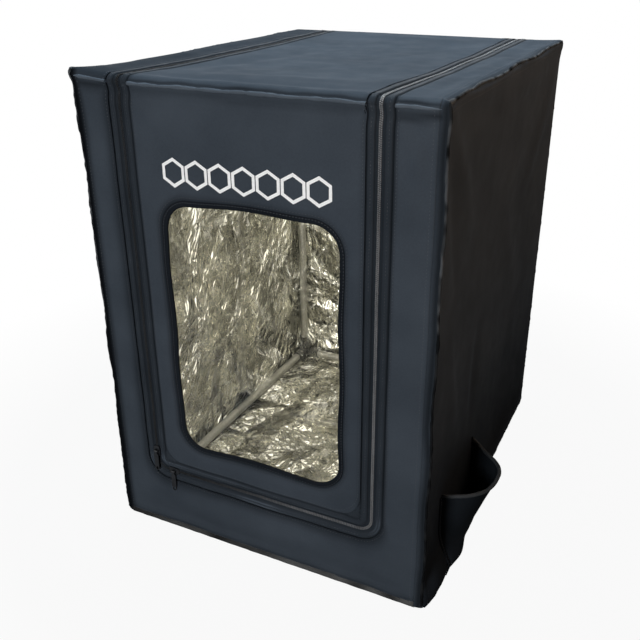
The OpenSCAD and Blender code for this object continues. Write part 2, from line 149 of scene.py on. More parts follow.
ROOF_FOLDS = [
    (-0.150, -0.300, 0.150, -0.296, 0.010, -0.0026), (-0.120, -0.270, 0.140, -0.240, 0.020, 0.0022),
    (-0.160, -0.230, -0.080, 0.100, 0.022, -0.0026), (0.160, -0.250, 0.090, 0.060, 0.020, 0.0022),
    (-0.100, 0.280, 0.120, 0.250, 0.020, 0.0024), (-0.240, -0.240, -0.232, 0.200, 0.008, 0.0016),
    (0.235, -0.300, 0.232, -0.120, 0.008, -0.0022), (0.232, -0.100, 0.238, 0.060, 0.009, 0.0020),
    (0.238, 0.080, 0.232, 0.280, 0.009, -0.0020), (-0.225, -0.310, -0.250, -0.280, 0.008, 0.0018)]
RIGHT_FOLDS = [
    (-0.310, 0.720, -0.180, 0.560, 0.022, 0.0040), (-0.300, 0.690, -0.240, 0.480, 0.016, -0.0030),
    (-0.280, 0.725, -0.060, 0.690, 0.014, -0.0030), (-0.060, 0.700, 0.200, 0.715, 0.016, 0.0030),
    (-0.250, 0.400, -0.180, 0.190, 0.020, 0.0036), (-0.080, 0.360, -0.100, 0.185, 0.018, -0.0036),
    (0.020, 0.520, 0.180, 0.300, 0.030, 0.0034), (0.290, 0.700, 0.150, 0.520, 0.022, 0.0036),
    (0.280, 0.120, 0.120, 0.200, 0.020, -0.0030), (0.050, 0.060, 0.260, 0.050, 0.016, 0.0030),
    (-0.310, 0.150, -0.270, 0.060, 0.012, 0.0030)]
LEFT_FOLDS = [
    (-0.300, 0.710, -0.160, 0.560, 0.022, 0.0036), (0.290, 0.700, 0.140, 0.540, 0.022, 0.0036),
    (-0.200, 0.560, -0.120, 0.250, 0.030, -0.0030), (0.060, 0.600, 0.120, 0.280, 0.030, 0.0030),
    (-0.290, 0.060, -0.120, 0.070, 0.016, 0.0026), (0.060, 0.050, 0.280, 0.070, 0.016, -0.0024)]
BACK_FOLDS = [
    (-0.240, 0.710, -0.110, 0.560, 0.020, 0.0036), (0.240, 0.710, 0.110, 0.580, 0.020, 0.0036),
    (-0.100, 0.520, -0.060, 0.200, 0.026, -0.0030), (0.100, 0.460, 0.080, 0.180, 0.026, 0.0030),
    (-0.220, 0.050, -0.020, 0.070, 0.014, 0.0024)]


def slack(p):
    """Moves points of the nominal cover to where the slack cloth lies, for every piece of the cover."""
    p = np.array(p, float).reshape(-1, 3)
    x, y, z = p.T
    near = lambda a: 1 - smooth(0.004, 0.014, a)
    edge = lambda v, half, m: smooth(0.0, m, half - np.abs(v))
    zc = z - TENT_H / 2
    rough = noise(p, 0.085, 3) * 0.6 + noise(p, 0.040, 4) * 0.4
    out = np.zeros_like(p)
    # Front, with the recess round the window, the roll along the top and the grooves along the seams
    calm = edge(x, HALF_W, 0.030) * edge(zc, TENT_H / 2, 0.030)
    h = 0.0010 * rough + ridges(x, z, FRONT_FOLDS) - 0.0034 * (1 - smooth(0.001, 0.026, window_distance(p)))
    h += 0.0030 * bell(z - 0.058, 0.030) * edge(x, HALF_W, 0.05)
    h *= 0.15 + 0.85 * calm
    free = smooth(0.020, 0.070, HALF_W - np.abs(x))
    h -= (0.0008 + 0.0018 * free) * bell(TENT_H - z - 0.0220 - 0.003 * noise(p, 0.06, 6), 0.0065)
    h += 0.0014 * bell(TENT_H - z - 0.0095, 0.0050)
    mid = smooth(0.035, 0.075, z) * smooth(0.035, 0.075, TENT_H - z)
    h -= (0.0006 + 0.0010 * mid) * bell(x - 0.2600, 0.0032)
    h -= (0.0008 + 0.0012 * free) * bell(z - 0.0115 - 0.0025 * noise(p, 0.045, 71), 0.0030)
    out[:, 1] -= near(y + HALF_D) * h
    # Back
    hollow_back = -0.0060 * edge(x, HALF_W, 0.20) * edge(zc, TENT_H / 2, 0.25)
    h = hollow_back + 0.0014 * rough + ridges(x, z, BACK_FOLDS)
    out[:, 1] += near(HALF_D - y) * h * edge(x, HALF_W, 0.030) * edge(zc, TENT_H / 2, 0.030)
    # Right and left
    pull = np.exp(-(((y - POUCH_Y) / 0.13) ** 2 + ((z - 0.12) / 0.12) ** 2))
    hollow = -0.0070 * edge(y, HALF_D, 0.22) * edge(zc, TENT_H / 2, 0.25)
    h = hollow * (1 - 0.9 * pull) + 0.0014 * rough * (1 - 0.7 * pull)
    h += ridges(y, z, RIGHT_FOLDS) * (1 - 0.8 * pull)
    h += 0.0055 * bell(z - 0.040, 0.030) * edge(y, HALF_D, 0.05)
    h *= edge(y, HALF_D, 0.030) * edge(zc, TENT_H / 2, 0.026)
    bulge = bell(np.maximum(np.abs(y + 0.262) - 0.030, 0), 0.038) * bell(np.maximum(z - 0.022, 0), 0.034)
    h += 0.0155 * bulge * (1 + 0.05 * np.sin(y * 90 + z * 40))
    out[:, 0] += near(HALF_W - x) * h
    h = hollow + 0.0014 * rough + ridges(y, z, LEFT_FOLDS)
    out[:, 0] -= near(x + HALF_W) * h * edge(y, HALF_D, 0.030) * edge(zc, TENT_H / 2, 0.030)
    # Roof
    h = -0.0060 * edge(x, HALF_W, 0.18) * edge(y, HALF_D, 0.22) + 0.0012 * rough + ridges(x, y, ROOF_FOLDS)
    out[:, 2] += near(TENT_H - z) * h * edge(x, HALF_W, 0.022) * edge(y, HALF_D, 0.026)
    # Wavy upper edges and puckered upright seams
    top = near(TENT_H - z)
    for s, a in ((1, 0.0021), (-1, 0.0013)):
        w = near(HALF_W - s * x) * top * edge(y, HALF_D, 0.04)
        wave = np.sin(y * 27 + 0.9) * 0.7
        wave += 0.5 * bell(y + 0.255, 0.022) - 0.6 * bell(y + 0.215, 0.018)
        out[:, 2] += w * a * (wave - 0.4)
        out[:, 0] -= s * w * a * 0.6 * (np.sin(y * 35 + 1.0) + 0.6)
    w = near(y + HALF_D) * top * edge(x, HALF_W, 0.03)
    out[:, 2] += w * 0.0010 * (np.sin(x * 63 + 0.5) * 0.6 + np.sin(x * 137 + 1.7) * 0.4 - 0.3)
    for s in (-1, 1):
        w = near(HALF_W - s * x) * near(y + HALF_D) * smooth(0.02, 0.06, z) * smooth(0.0, 0.04, TENT_H - z)
        out[:, 0] -= s * w * 0.0010 * np.sin(z * 37 + 1.3 * s)
        out[:, 1] += w * 0.0008 * np.sin(z * 52 + 0.4)
    fin = near(HALF_W - x) * near(y + HALF_D) * smooth(0.02, 0.09, z)
    pucker = noise(p, 0.012, 81)
    out[:, 0] += fin * (0.0075 + 0.0009 * pucker)
    out[:, 1] -= fin * (0.0022 + 0.0007 * pucker) * smooth(0.0, 0.03, TENT_H - z)
    ear = (1 - smooth(0.0005, 0.005, HALF_W - x)) * (1 - smooth(0.0, 0.045, y + HALF_D))
    ear *= 1 - smooth(0.0, 0.03, TENT_H - z)
    out[:, 2] -= ear * 0.0070
    # The tapes of the bottom run sag between its corners, clear of the straight path of the slider
    run = near(y + HALF_D) * bell(z - ZIP_Z, 0.034)
    run *= smooth(-0.14, -0.06, x) * smooth(-0.165, -0.10, -x)
    out[:, 2] -= run * smooth(0.0070, 0.0150, np.abs(z - ZIP_Z)) * (0.0018 + 0.0012 * np.sin(x * 42 + 1.0))
    # The slack hem of the window is a little wavy
    hem = near(y + HALF_D) * bell(window_distance(p), 0.018)
    out[:, 0] += hem * (0.0013 * np.sin(z * 38 + 0.7 * np.sign(x)) + 0.0035 * smooth(0.03, 0.12, -x))
    droop = smooth(0.05, 0.18, z - WIN_MID) * smooth(-0.05, 0.10, -x)
    out[:, 2] += hem * (0.0020 * np.sin(x * 31 + 1.9) - 0.0030 * droop)
    # The upper left corner is pushed out by its connector, and the left edge stands out a little lower down
    tip = np.exp(-((x + HALF_W) ** 2 + (y + HALF_D) ** 2 + (z - TENT_H) ** 2) / 0.050 ** 2)[:, None]
    out += tip * [-0.0030, -0.0010, 0.0055]
    tip = np.exp(-((x + HALF_W) ** 2 + (y + HALF_D) ** 2 + (z - TENT_H) ** 2) / 0.014 ** 2)[:, None]
    out += tip * [-0.0028, -0.0010, 0.0012]
    tip = np.exp(-((x - HALF_W) ** 2 + (y - HALF_D) ** 2 + (z - TENT_H) ** 2) / 0.022 ** 2)[:, None]
    out += tip * [0.0030, 0.0020, 0.0020]
    out[:, 0] -= near(x + HALF_W) * near(y + HALF_D) * 0.0030 * bell(z - 0.060, 0.11)
    return p + out


def zip_distance(p):
    """Distance of points on the front or the roof from the zip line, negative towards the door."""
    x, z = np.abs(p[:, 0]), p[:, 2]
    qx, qz = x - (ZIP_X - ZIP_R), (ZIP_Z + ZIP_R) - z
    turn = np.where((qx > 0) & (qz > 0), np.hypot(qx, qz), np.maximum(qx, qz)) - ZIP_R
    return np.where(z > ZIP_Z + ZIP_R, x - ZIP_X, turn)


def window_distance(p):
    """Distance of points on the front from the edge of the window opening, negative inside it."""
    q = np.stack([np.abs(p[:, 0]) - WIN_W / 2 + WIN_R, np.abs(p[:, 2] - WIN_MID) - WIN_H / 2 + WIN_R], -1)
    return np.hypot(*np.maximum(q, 0).T) + np.minimum(q.max(1), 0) - WIN_R


def painted_shade(p):
    """Painted shade on the cloth at nominal points p, from 0 to 1: dark lines beside the zip, under the top
    roll, above the bottom hem and along the right front groove, and a darker left roof strip, left front
    edge, window surround and lower right wall.
    """
    x, y, z = p.T
    front = 1 - smooth(0.002, 0.012, y + HALF_D)
    roof = 1 - smooth(0.002, 0.012, TENT_H - z)
    lat = zip_distance(p)
    wave = noise(p, 0.045, 71)
    right = smooth(-0.05, 0.15, x) * smooth(0.10, 0.16, z)
    width = 0.0115 - 0.0092 * right + 0.002 * wave
    outer = (0.58 + 0.05 * right) * bell(np.maximum(lat - BAND, 0), width)
    inner = (0.55 - 0.25 * right) * bell(np.maximum(-lat - BAND, 0), 0.0024 + 0.0030 * right)
    c = np.where(lat > 0, outer, inner) * np.maximum(front, 0.7 * roof)
    c = np.maximum(c, roof * 0.48 * smooth(ZIP_X, ZIP_X + 0.01, -x))
    c = np.maximum(c, front * (0.48 + 0.2 * wave) * bell(z - SHOULDER_Z - 0.0052, 0.0018))
    c = np.maximum(c, front * 0.95 * (1 - smooth(0.008, 0.024, x + HALF_W)))
    c = np.maximum(c, front * 0.74 * bell(x - 0.2612 - 0.001 * wave, 0.0034))
    strip = smooth(ZIP_X, ZIP_X + 0.02, np.abs(x))
    c = np.maximum(c, front * (0.22 + 0.48 * strip) * bell(TENT_H - z - 0.0190 - 0.003 * wave, 0.0046))
    c = np.maximum(c, front * (0.35 + 0.20 * wave) * bell(z - 0.0175 - 0.0020 * wave, 0.0034))
    c = np.maximum(c, front * (0.62 - 0.9 * x) * (1 - smooth(0.006, 0.017, window_distance(p))))
    side = 1 - smooth(0.002, 0.012, HALF_W - x)
    c = np.maximum(c, side * 0.62 * (1 - smooth(0.03, 0.32, z)))
    return np.clip(c, 0, 1)


def tape_painted_shade(p):
    """Painted shade on the zip tapes, darker overall: dark lines in the grooves beside the teeth and along
    the edge, lifted on the bottom run, where pale streaks are painted highlights.
    """
    z = p[:, 2]
    lat = np.abs(zip_distance(p))
    low = 1 - smooth(ZIP_Z + 0.02, ZIP_Z + 0.10, z)
    lines = bell(lat - 0.0046, 0.0014) + 0.6 * bell(lat - 0.0172, 0.0012)
    streaks = bell(lat - 0.0094, 0.0009) + bell(lat - 0.0133, 0.0009)
    uneven_painted_light = np.clip(0.25 + 1.4 * noise(p * [0.25, 1, 1], 0.014, 95), 0, 1)
    return np.clip(0.69 - low * (0.06 + 0.60 * streaks * uneven_painted_light) + 0.34 * lines, 0, 0.96)


# Mesh building

def grid_faces(rows, cols, start=0, closed=False):
    """Quads of a rows by cols grid, joined round the columns if closed."""
    last = cols if closed else cols - 1
    i, j = np.meshgrid(np.arange(rows - 1), np.arange(last), indexing="ij")
    a = start + i * cols + j
    b = start + i * cols + (j + 1) % cols
    return np.stack([a, b, b + cols, a + cols], -1).reshape(-1, 4).tolist()


def vertex_normals(v, f):
    n = np.zeros_like(v)
    for corners, (a0, a1, b0, b1) in ((4, (0, 2, 1, 3)), (3, (0, 1, 0, 2))):
        q = np.array([x for x in f if len(x) == corners], int).reshape(-1, corners)
        if len(q):
            a = np.cross(v[q[:, a1]] - v[q[:, a0]], v[q[:, b1]] - v[q[:, b0]])
            for k in range(corners):
                np.add.at(n, q[:, k], a)
    return n / np.maximum(np.linalg.norm(n, axis=1, keepdims=True), 1e-12)


def thicken(v, f, t):
    """Closed sheet: the given faces, the same faces t behind them, and a rim."""
    v = np.asarray(v, float)
    n = len(v)
    back = v - t * vertex_normals(v, f)
    seen = {}
    for q in f:
        for a, b in zip(q, q[1:] + q[:1]):
            seen[(a, b)] = seen.get((a, b), 0) + 1
    rim = [[b, a, a + n, b + n] for (a, b) in seen if (b, a) not in seen]
    return np.vstack([v, back]), f + [[i + n for i in reversed(q)] for q in f] + rim


def weld(v, f, uv, within=1e-6):
    """Joins points that lie in the same place."""
    key = np.round(np.asarray(v) / within).astype(np.int64)
    _, first, back = np.unique(key, axis=0, return_index=True, return_inverse=True)
    back = back.reshape(-1)
    faces = []
    for q in f:
        r = []
        for i in q:
            k = int(back[i])
            if not r or r[-1] != k:
                r.append(k)
        if len(r) > 1 and r[0] == r[-1]:
            r.pop()
        if len(r) >= 3:
            faces.append(r)
    return np.asarray(v)[first], faces, np.asarray(uv)[first]


def piece(name, v, f, material, body=None, uv=None, node=(), smooth_faces=True, shade=None):
    """A mesh object in the row frame that rides on a body and stands for CAD nodes."""
    mesh = bpy.data.meshes.new(name)
    mesh.from_pydata(np.asarray(v, float).tolist(), [], [list(map(int, q)) for q in f])
    if uv is not None:
        layer = mesh.uv_layers.new(name="UVMap")
        index = np.zeros(len(mesh.loops), np.int32)
        mesh.loops.foreach_get("vertex_index", index)
        layer.data.foreach_set("uv", np.asarray(uv, np.float32)[index].ravel())
    # Painted shade, from 0 to 1, kept on the points for the material to darken the colour
    if shade is not None:
        painted_shade_layer = mesh.attributes.new("painted_shade", "FLOAT", "POINT")
        painted_shade_layer.data.foreach_set("value", np.asarray(shade, np.float32))
    mesh.materials.append(material)
    mesh.polygons.foreach_set("use_smooth", [smooth_faces] * len(mesh.polygons))
    mesh.validate()
    mesh.update()
    obj = bpy.data.objects.new(name, mesh)
    bpy.context.scene.collection.objects.link(obj)
    if body:
        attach(obj, body)
    if node:
        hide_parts(*([node] if isinstance(node, str) else node))
    return obj


def spread(a, b, step, ends=()):
    """Numbers from a to b about a step apart, with the given offsets close to both ends."""
    inner = max(int(round((b - a) / step)), 1)
    s = [a + (b - a) * i / inner for i in range(inner + 1)]
    s += [a + e for e in ends] + [b - e for e in ends]
    return np.unique(np.round(s, 7))


def arc(c, r, a0, a1, n):
    t = np.radians(np.linspace(a0, a1, n + 1))
    return np.stack([c[0] + r * np.cos(t), c[1] + r * np.sin(t)], -1)


def rounded(w, h, r, n):
    """Rounded rectangle with n points, evenly spaced, from the middle of its top edge anticlockwise."""
    k = 16
    x, y = w / 2 - r, h / 2 - r
    turns = (((-x, y), 90), ((-x, -y), 180), ((x, -y), 270), ((x, y), 0))
    top = [[0, h / 2]]
    p = np.vstack([top] + [arc(c, r, a, a + 90, k) for c, a in turns] + [top])
    return even(p, n + 1)[:-1]


def even(p, n):
    """n points spaced evenly along a polyline."""
    p = np.asarray(p, float)
    s = np.concatenate([[0], np.cumsum(np.linalg.norm(np.diff(p, axis=0), axis=1))])
    t = np.linspace(0, s[-1], n)
    return np.stack([np.interp(t, s, p[:, k]) for k in range(p.shape[1])], -1)


def doorway(half, low, high, r, k=10):
    """The doorway's outline as an open line, from the upper left corner down and round to the right."""
    turns = [arc((r - half, low + r), r, 180, 270, k), arc((half - r, low + r), r, 270, 360, k)]
    return np.vstack([[[-half, high]], *turns, [[half, high]]])


def on_front(xz, deep=0.0):
    xz = np.asarray(xz, float)
    return np.stack([xz[:, 0], np.full(len(xz), -HALF_D) + deep, xz[:, 1]], -1)


def soft_lip(d, r=0.0011):
    """How far a folded cloth edge drops at a distance d from the edge."""
    t = np.clip(1 - d / r, 0, 1)
    return 0.8 * r * (1 - np.sqrt(np.maximum(1 - t * t, 0)))


# Materials

def material(name):
    m = bpy.data.materials.new(name)
    m.use_nodes = True
    t = m.node_tree
    return m, t, t.nodes["Principled BSDF"]


def node(t, kind, **values):
    n = t.nodes.new(kind)
    for k, v in values.items():
        if k in n.inputs:
            n.inputs[k].default_value = v
        else:
            setattr(n, k, v)
    return n


def ramp(t, source, *stops):
    n = t.nodes.new("ShaderNodeValToRGB")
    while len(n.color_ramp.elements) < len(stops):
        n.color_ramp.elements.new(0.5)
    for e, (at, c) in zip(n.color_ramp.elements, stops):
        e.position = at
        e.color = (*c, 1) if isinstance(c, tuple) else (c, c, c, 1)
    t.links.new(source, n.inputs["Fac"])
    return n.outputs["Color"]


def bump(t, height, strength, distance, normal=None):
    n = node(t, "ShaderNodeBump", Strength=strength, Distance=distance)
    t.links.new(height, n.inputs["Height"])
    if normal:
        t.links.new(normal, n.inputs["Normal"])
    return n.outputs["Normal"]


def math_node(t, operation, *values):
    n = node(t, "ShaderNodeMath", operation=operation)
    for i, s in enumerate(values):
        if isinstance(s, (int, float)):
            n.inputs[i].default_value = s
        else:
            t.links.new(s, n.inputs[i])
    return n.outputs[0]


def noise_tex(t, vector, scale, detail=2.0, rough=0.5):
    n = node(t, "ShaderNodeTexNoise", Scale=scale, Detail=detail, Roughness=rough)
    t.links.new(vector, n.inputs["Vector"])
    return n.outputs["Fac"]


def weave_height(t, uv, scale):
    """Over and under threads from two crossed waves, in metres of cloth."""
    out = []
    for direction in ("X", "Y"):
        w = node(t, "ShaderNodeTexWave", Scale=scale, bands_direction=direction)
        t.links.new(uv, w.inputs["Vector"])
        out.append(w.outputs["Fac"])
    return math_node(t, "MULTIPLY", out[0], out[1])


def cloth_material(name, dark, light, roughness, weave, shine):
    m, t, b = material(name)
    c = t.nodes.new("ShaderNodeTexCoord")
    place = c.outputs["Object"]
    big = noise_tex(t, place, 9, 3)
    fine = noise_tex(t, place, 420, 2)
    mix = math_node(t, "ADD", math_node(t, "MULTIPLY", big, 0.8), math_node(t, "MULTIPLY", fine, 0.25))
    # The painted shade attribute mixes the colour towards near black and takes the specular away
    fold = node(t, "ShaderNodeAttribute", attribute_name="painted_shade").outputs["Fac"]
    deep = node(t, "ShaderNodeMix", data_type="RGBA")
    t.links.new(fold, deep.inputs[0])
    t.links.new(ramp(t, mix, (0.30, dark), (0.75, light)), deep.inputs[6])
    deep.inputs[7].default_value = (0.0022, 0.0026, 0.0032, 1)
    t.links.new(deep.outputs[2], b.inputs["Base Color"])
    rough = ramp(t, noise_tex(t, place, 30, 3), (0.3, roughness - 0.05), (0.7, roughness + 0.06))
    t.links.new(rough, b.inputs["Roughness"])
    soft = bump(t, noise_tex(t, place, 16, 2, 0.5), 0.06, 0.004)
    t.links.new(bump(t, weave_height(t, c.outputs["UV"], weave), 0.05, 0.0004, soft), b.inputs["Normal"])
    t.links.new(math_node(t, "MULTIPLY_ADD", fold, -shine, shine), b.inputs["Specular IOR Level"])
    return m


# Layers of crumples in the foil: cells per metre, share of a cell's length, turn, swirl and slope
FOIL_LAYERS = (
    (8.0, 0.7, 0.3, 0.10, 0.80),
    (28.0, 0.28, 0.9, 0.20, 0.40),
    (80.0, 0.28, -0.4, 0.16, 0.36))


def foil_material():
    """Thin metal film with crumples: long cells, bent by swirls, that each stand up like a low roof."""
    m, t, b = material("crinkled_foil")
    place = t.nodes.new("ShaderNodeTexCoord").outputs["Object"]
    normal = None
    for scale, long, turn, swirl, slope in FOIL_LAYERS:
        bend = node(t, "ShaderNodeTexNoise", Scale=5.0, Detail=3.0)
        t.links.new(place, bend.inputs["Vector"])
        move = node(t, "ShaderNodeVectorMath", operation="MULTIPLY_ADD")
        t.links.new(bend.outputs["Color"], move.inputs[0])
        move.inputs[1].default_value = (swirl, swirl, swirl)
        t.links.new(place, move.inputs[2])
        flat = node(t, "ShaderNodeMapping", vector_type="TEXTURE")
        flat.inputs["Rotation"].default_value = (turn, turn, turn)
        flat.inputs["Scale"].default_value = (1, 1, 1 / long)
        t.links.new(move.outputs[0], flat.inputs["Vector"])
        cell = node(t, "ShaderNodeTexVoronoi", Scale=scale, feature="DISTANCE_TO_EDGE")
        t.links.new(flat.outputs[0], cell.inputs["Vector"])
        normal = bump(t, cell.outputs["Distance"], 1.0, slope / scale, normal)
    t.links.new(normal, b.inputs["Normal"])
    # Base colour in broad random patches from dark to pale: painted reflection contrast on top of the metal's
    # own reflections
    painted_reflection_tones = ((0.34, (0.34, 0.33, 0.29)), (0.50, (0.70, 0.69, 0.61)), (0.66, (0.97, 0.95, 0.84)))
    t.links.new(ramp(t, noise_tex(t, place, 8, 5, 0.62), *painted_reflection_tones), b.inputs["Base Color"])
    t.links.new(ramp(t, noise_tex(t, place, 60, 3), (0.3, 0.11), (0.7, 0.22)), b.inputs["Roughness"])
    b.inputs["Metallic"].default_value = 1.0
    return m


def hard_material(name, dark, light, rough0, rough1, metallic=0.0, coat=0.0, grain=0.05, size=900):
    m, t, b = material(name)
    c = t.nodes.new("ShaderNodeTexCoord")
    place = c.outputs["Object"]
    t.links.new(ramp(t, noise_tex(t, place, size / 5, 4), (0.3, dark), (0.7, light)), b.inputs["Base Color"])
    rough = ramp(t, noise_tex(t, place, size / 12, 3), (0.3, rough0), (0.7, rough1))
    t.links.new(rough, b.inputs["Roughness"])
    t.links.new(bump(t, noise_tex(t, place, size, 3), grain, 0.0006), b.inputs["Normal"])
    b.inputs["Metallic"].default_value = metallic
    b.inputs["Coat Weight"].default_value = coat
    return m


def window_material():
    m, t, b = material("clear_window")
    c = t.nodes.new("ShaderNodeTexCoord")
    place = c.outputs["Object"]
    t.links.new(ramp(t, noise_tex(t, place, 120, 3), (0.35, 0.0), (0.80, 0.03)), b.inputs["Roughness"])
    t.links.new(bump(t, noise_tex(t, place, 16, 2), 0.10, 0.004), b.inputs["Normal"])
    b.inputs["Base Color"].default_value = (0.97, 0.985, 0.98, 1)
    b.inputs["Transmission Weight"].default_value = 1.0
    b.inputs["IOR"].default_value = 1.45
    b.inputs["Alpha"].default_value = 0.16
    return m


CLOTH_M = cloth_material("navy_cloth", (0.0350, 0.0440, 0.0565), (0.0540, 0.0665, 0.0835), 0.58, 620, 0.014)
HEM_M = cloth_material("navy_hem", (0.0480, 0.0540, 0.0610), (0.0760, 0.0830, 0.0900), 0.50, 560, 0.03)
# The roll along the front top edge is painted lighter than the cloth: a painted highlight
ROLL_HIGHLIGHT_M = cloth_material("navy_roll_painted_highlight", (0.0600, 0.0740, 0.0930), (0.0900, 0.1090, 0.1330), 0.46, 560, 0.03)
FOIL_M = foil_material()
TAPE_M = cloth_material("zip_tape", (0.0590, 0.0745, 0.0955), (0.0900, 0.1115, 0.1400), 0.38, 420, 0.05)
BIND_M = cloth_material("black_binding", (0.0060, 0.0078, 0.0105), (0.0125, 0.0158, 0.0205), 0.56, 520, 0.03)
# Bottom hem colour is painted light, as bounced up from the floor onto the bottom edge
HEM_PAINTED_BOUNCE_M = cloth_material("hem_painted_bounce_light", (0.062, 0.064, 0.066), (0.112, 0.114, 0.114), 0.50, 520, 0.03)
# The teeth's pale grey is a painted highlight; painted shade darkens it on the left run
TEETH_M = cloth_material("zip_teeth", (0.150, 0.156, 0.166), (0.290, 0.298, 0.310), 0.26, 900, 0.25)
TUBE_M = hard_material("coated_tube", (0.44, 0.43, 0.39), (0.56, 0.55, 0.50), 0.28, 0.42, 0.85, 0.1)
JOINT_M = hard_material(
    "moulded_black", (0.012, 0.012, 0.013), (0.022, 0.022, 0.024), 0.42, 0.58, grain=0.12)
SLIDER_M = hard_material("black_enamel", (0.006, 0.007, 0.009), (0.016, 0.018, 0.022), 0.26, 0.40, 0.2, 0.3)
THREAD_M = hard_material("thread", (0.030, 0.034, 0.042), (0.060, 0.066, 0.080), 0.60, 0.75, size=2000)
PRINT_M = hard_material("white_print", (0.86, 0.87, 0.88), (0.95, 0.96, 0.97), 0.50, 0.62, size=1600)
WINDOW_M = window_material()


# Surfaces of the cover at a depth below its outer face

def side_points(side, deep, step):
    """Side wall with its rounded edges, as a grid of depth by height."""
    r = EDGE_R - deep
    q = math.pi / 2
    ua = spread(-q, 0, 0.0018 / EDGE_R)
    ys, zs = spread(-FLAT_Y, FLAT_Y, step)[1:-1], spread(EDGE_R, SHOULDER_Z, step)[1:-1]
    u = np.array([(-FLAT_Y, a) for a in ua] + [(y, 0) for y in ys] + [(FLAT_Y, a + q) for a in ua])
    v = np.array([(EDGE_R, a) for a in ua] + [(z, 0) for z in zs] + [(SHOULDER_Z, a + q) for a in ua])
    uu, vv = np.meshgrid(np.arange(len(u)), np.arange(len(v)), indexing="ij")
    y0, a = u[uu.ravel()].T
    z0, b = v[vv.ravel()].T
    x = side * (FLAT_X + r * np.cos(a) * np.cos(b))
    p = np.stack([x, y0 + r * np.sin(a) * np.cos(b), z0 + r * np.sin(b)], -1)
    uv = np.stack([y0 + EDGE_R * a, z0 + EDGE_R * b], -1)
    f = grid_faces(len(u), len(v))
    return p, [q[::-1] for q in f] if side < 0 else f, uv


def turned(r, z, a0, a1, n):
    """Rows (out, z, length) of a sheet that turns over an edge whose round is centred at height z."""
    return [(r * math.cos(a), z + r * math.sin(a), z + EDGE_R * a) for a in np.linspace(a0, a1, n)]


def upright_profile(deep, step):
    """Offsets (out, z) up a front or back sheet, turning over the rounded edges."""
    r = EDGE_R - deep
    rows = turned(r, EDGE_R, -math.pi / 2, 0, 6)
    rows += [(r, z, z) for z in spread(EDGE_R, SHOULDER_Z, step)[1:-1]]
    rows += turned(r, SHOULDER_Z, 0, math.pi / 2, 6)
    return np.array(rows)


def strip_points(side, xs, profile):
    """Front (side -1) or back sheet from columns xs and an upright profile."""
    n, m = len(xs), len(profile)
    x = np.repeat(xs, m)
    out, z, s = np.tile(profile, (n, 1)).T
    p = np.stack([x, side * (FLAT_Y + out), z], -1)
    f = grid_faces(n, m)
    return p, f if side < 0 else [q[::-1] for q in f], np.stack([x, s], -1)


def surround_points(deep, margin, step):
    """Front sheet round the doorway: a U between the doorway's edge and the cover's turned edges."""
    n, m = int(1.75 / step), 10
    inner = even(doorway(ZIP_X + margin, ZIP_Z - margin, SHOULDER_Z, ZIP_R + margin), n)
    half, low, r = ZIP_X + margin, ZIP_Z - margin, ZIP_R + margin
    ia = int(np.argmin(np.linalg.norm(inner - [-half + 0.3 * r, low + 0.3 * r], axis=1)))
    ib = int(np.argmin(np.linalg.norm(inner - [half - 0.3 * r, low + 0.3 * r], axis=1)))
    place = np.arange(n)
    left_z = np.interp(place[:ia], [0, ia], [SHOULDER_Z, EDGE_R])
    low_x = np.interp(place[ia:ib + 1], [ia, ib], [-FLAT_X, FLAT_X])
    right_z = np.interp(place[ib + 1:], [ib, n - 1], [EDGE_R, SHOULDER_Z])
    stile, rail = [(-FLAT_X, z) for z in left_z], [(x, EDGE_R) for x in low_x]
    outer = np.vstack([stile, rail, [(FLAT_X, z) for z in right_z]])
    gap = np.linalg.norm(outer - inner, axis=1)
    near = np.array([0, 0.0004, 0.0008, 0.0012, 0.0030])
    share = np.linspace(0, 1, m + 1)[1:]
    cols = [inner + (outer - inner) * (d / gap)[:, None] for d in near]
    cols += [inner + (outer - inner) * ((0.003 + (gap - 0.015) * s) / gap)[:, None] for s in share]
    fine = (0.0105, 0.0085, 0.0070, 0.0058, 0.0047, 0.0036, 0.0024, 0.0012, 0.0)
    cols += [outer + (inner - outer) * (d / gap)[:, None] for d in fine]
    lip = [soft_lip(d) for d in near] + [0] * (m + len(fine))
    grid = np.stack(cols, 1)
    y = -HALF_D + deep + np.broadcast_to(lip, grid.shape[:2])
    p = np.stack([grid[..., 0], y, grid[..., 1]], -1).reshape(-1, 3)
    uv = grid.reshape(-1, 2)
    f = [q[::-1] for q in grid_faces(n, len(cols))]
    r2 = EDGE_R - deep
    down = np.array(turned(r2, EDGE_R, -math.pi / 2, 0, 6))
    up = np.array(turned(r2, SHOULDER_Z, 0, math.pi / 2, 14))
    xs_low = outer[ia:ib + 1, 0]
    parts = [(p, f, uv), strip_points(-1, xs_low, down)]
    for end in (0, -1):
        parts.append(strip_points(-1, np.sort(grid[end, :, 0]), up))
    return join(parts)


def join(parts):
    v, f, uv, base = [], [], [], 0
    for p, q, t in parts:
        v.append(p)
        f += [[i + base for i in x] for x in q]
        uv.append(t)
        base += len(p)
    return weld(np.vstack(v), f, np.vstack(uv))


def roof_points(x0, x1, deep, step, lips=(True, True)):
    xs = spread(x0, x1, step, (0.0004, 0.0008, 0.0012, 0.0025, 0.0045))
    ys = spread(-FLAT_Y, FLAT_Y, step, (0.0015, 0.0030, 0.0050))
    xx, yy = np.meshgrid(xs, ys, indexing="ij")
    drop = np.zeros_like(xx)
    if lips[0]:
        drop += soft_lip(xx - x0)
    if lips[1]:
        drop += soft_lip(x1 - xx)
    p = np.stack([xx, yy, TENT_H - deep - drop], -1).reshape(-1, 3)
    return p, grid_faces(len(xs), len(ys)), np.stack([xx, yy], -1).reshape(-1, 2)


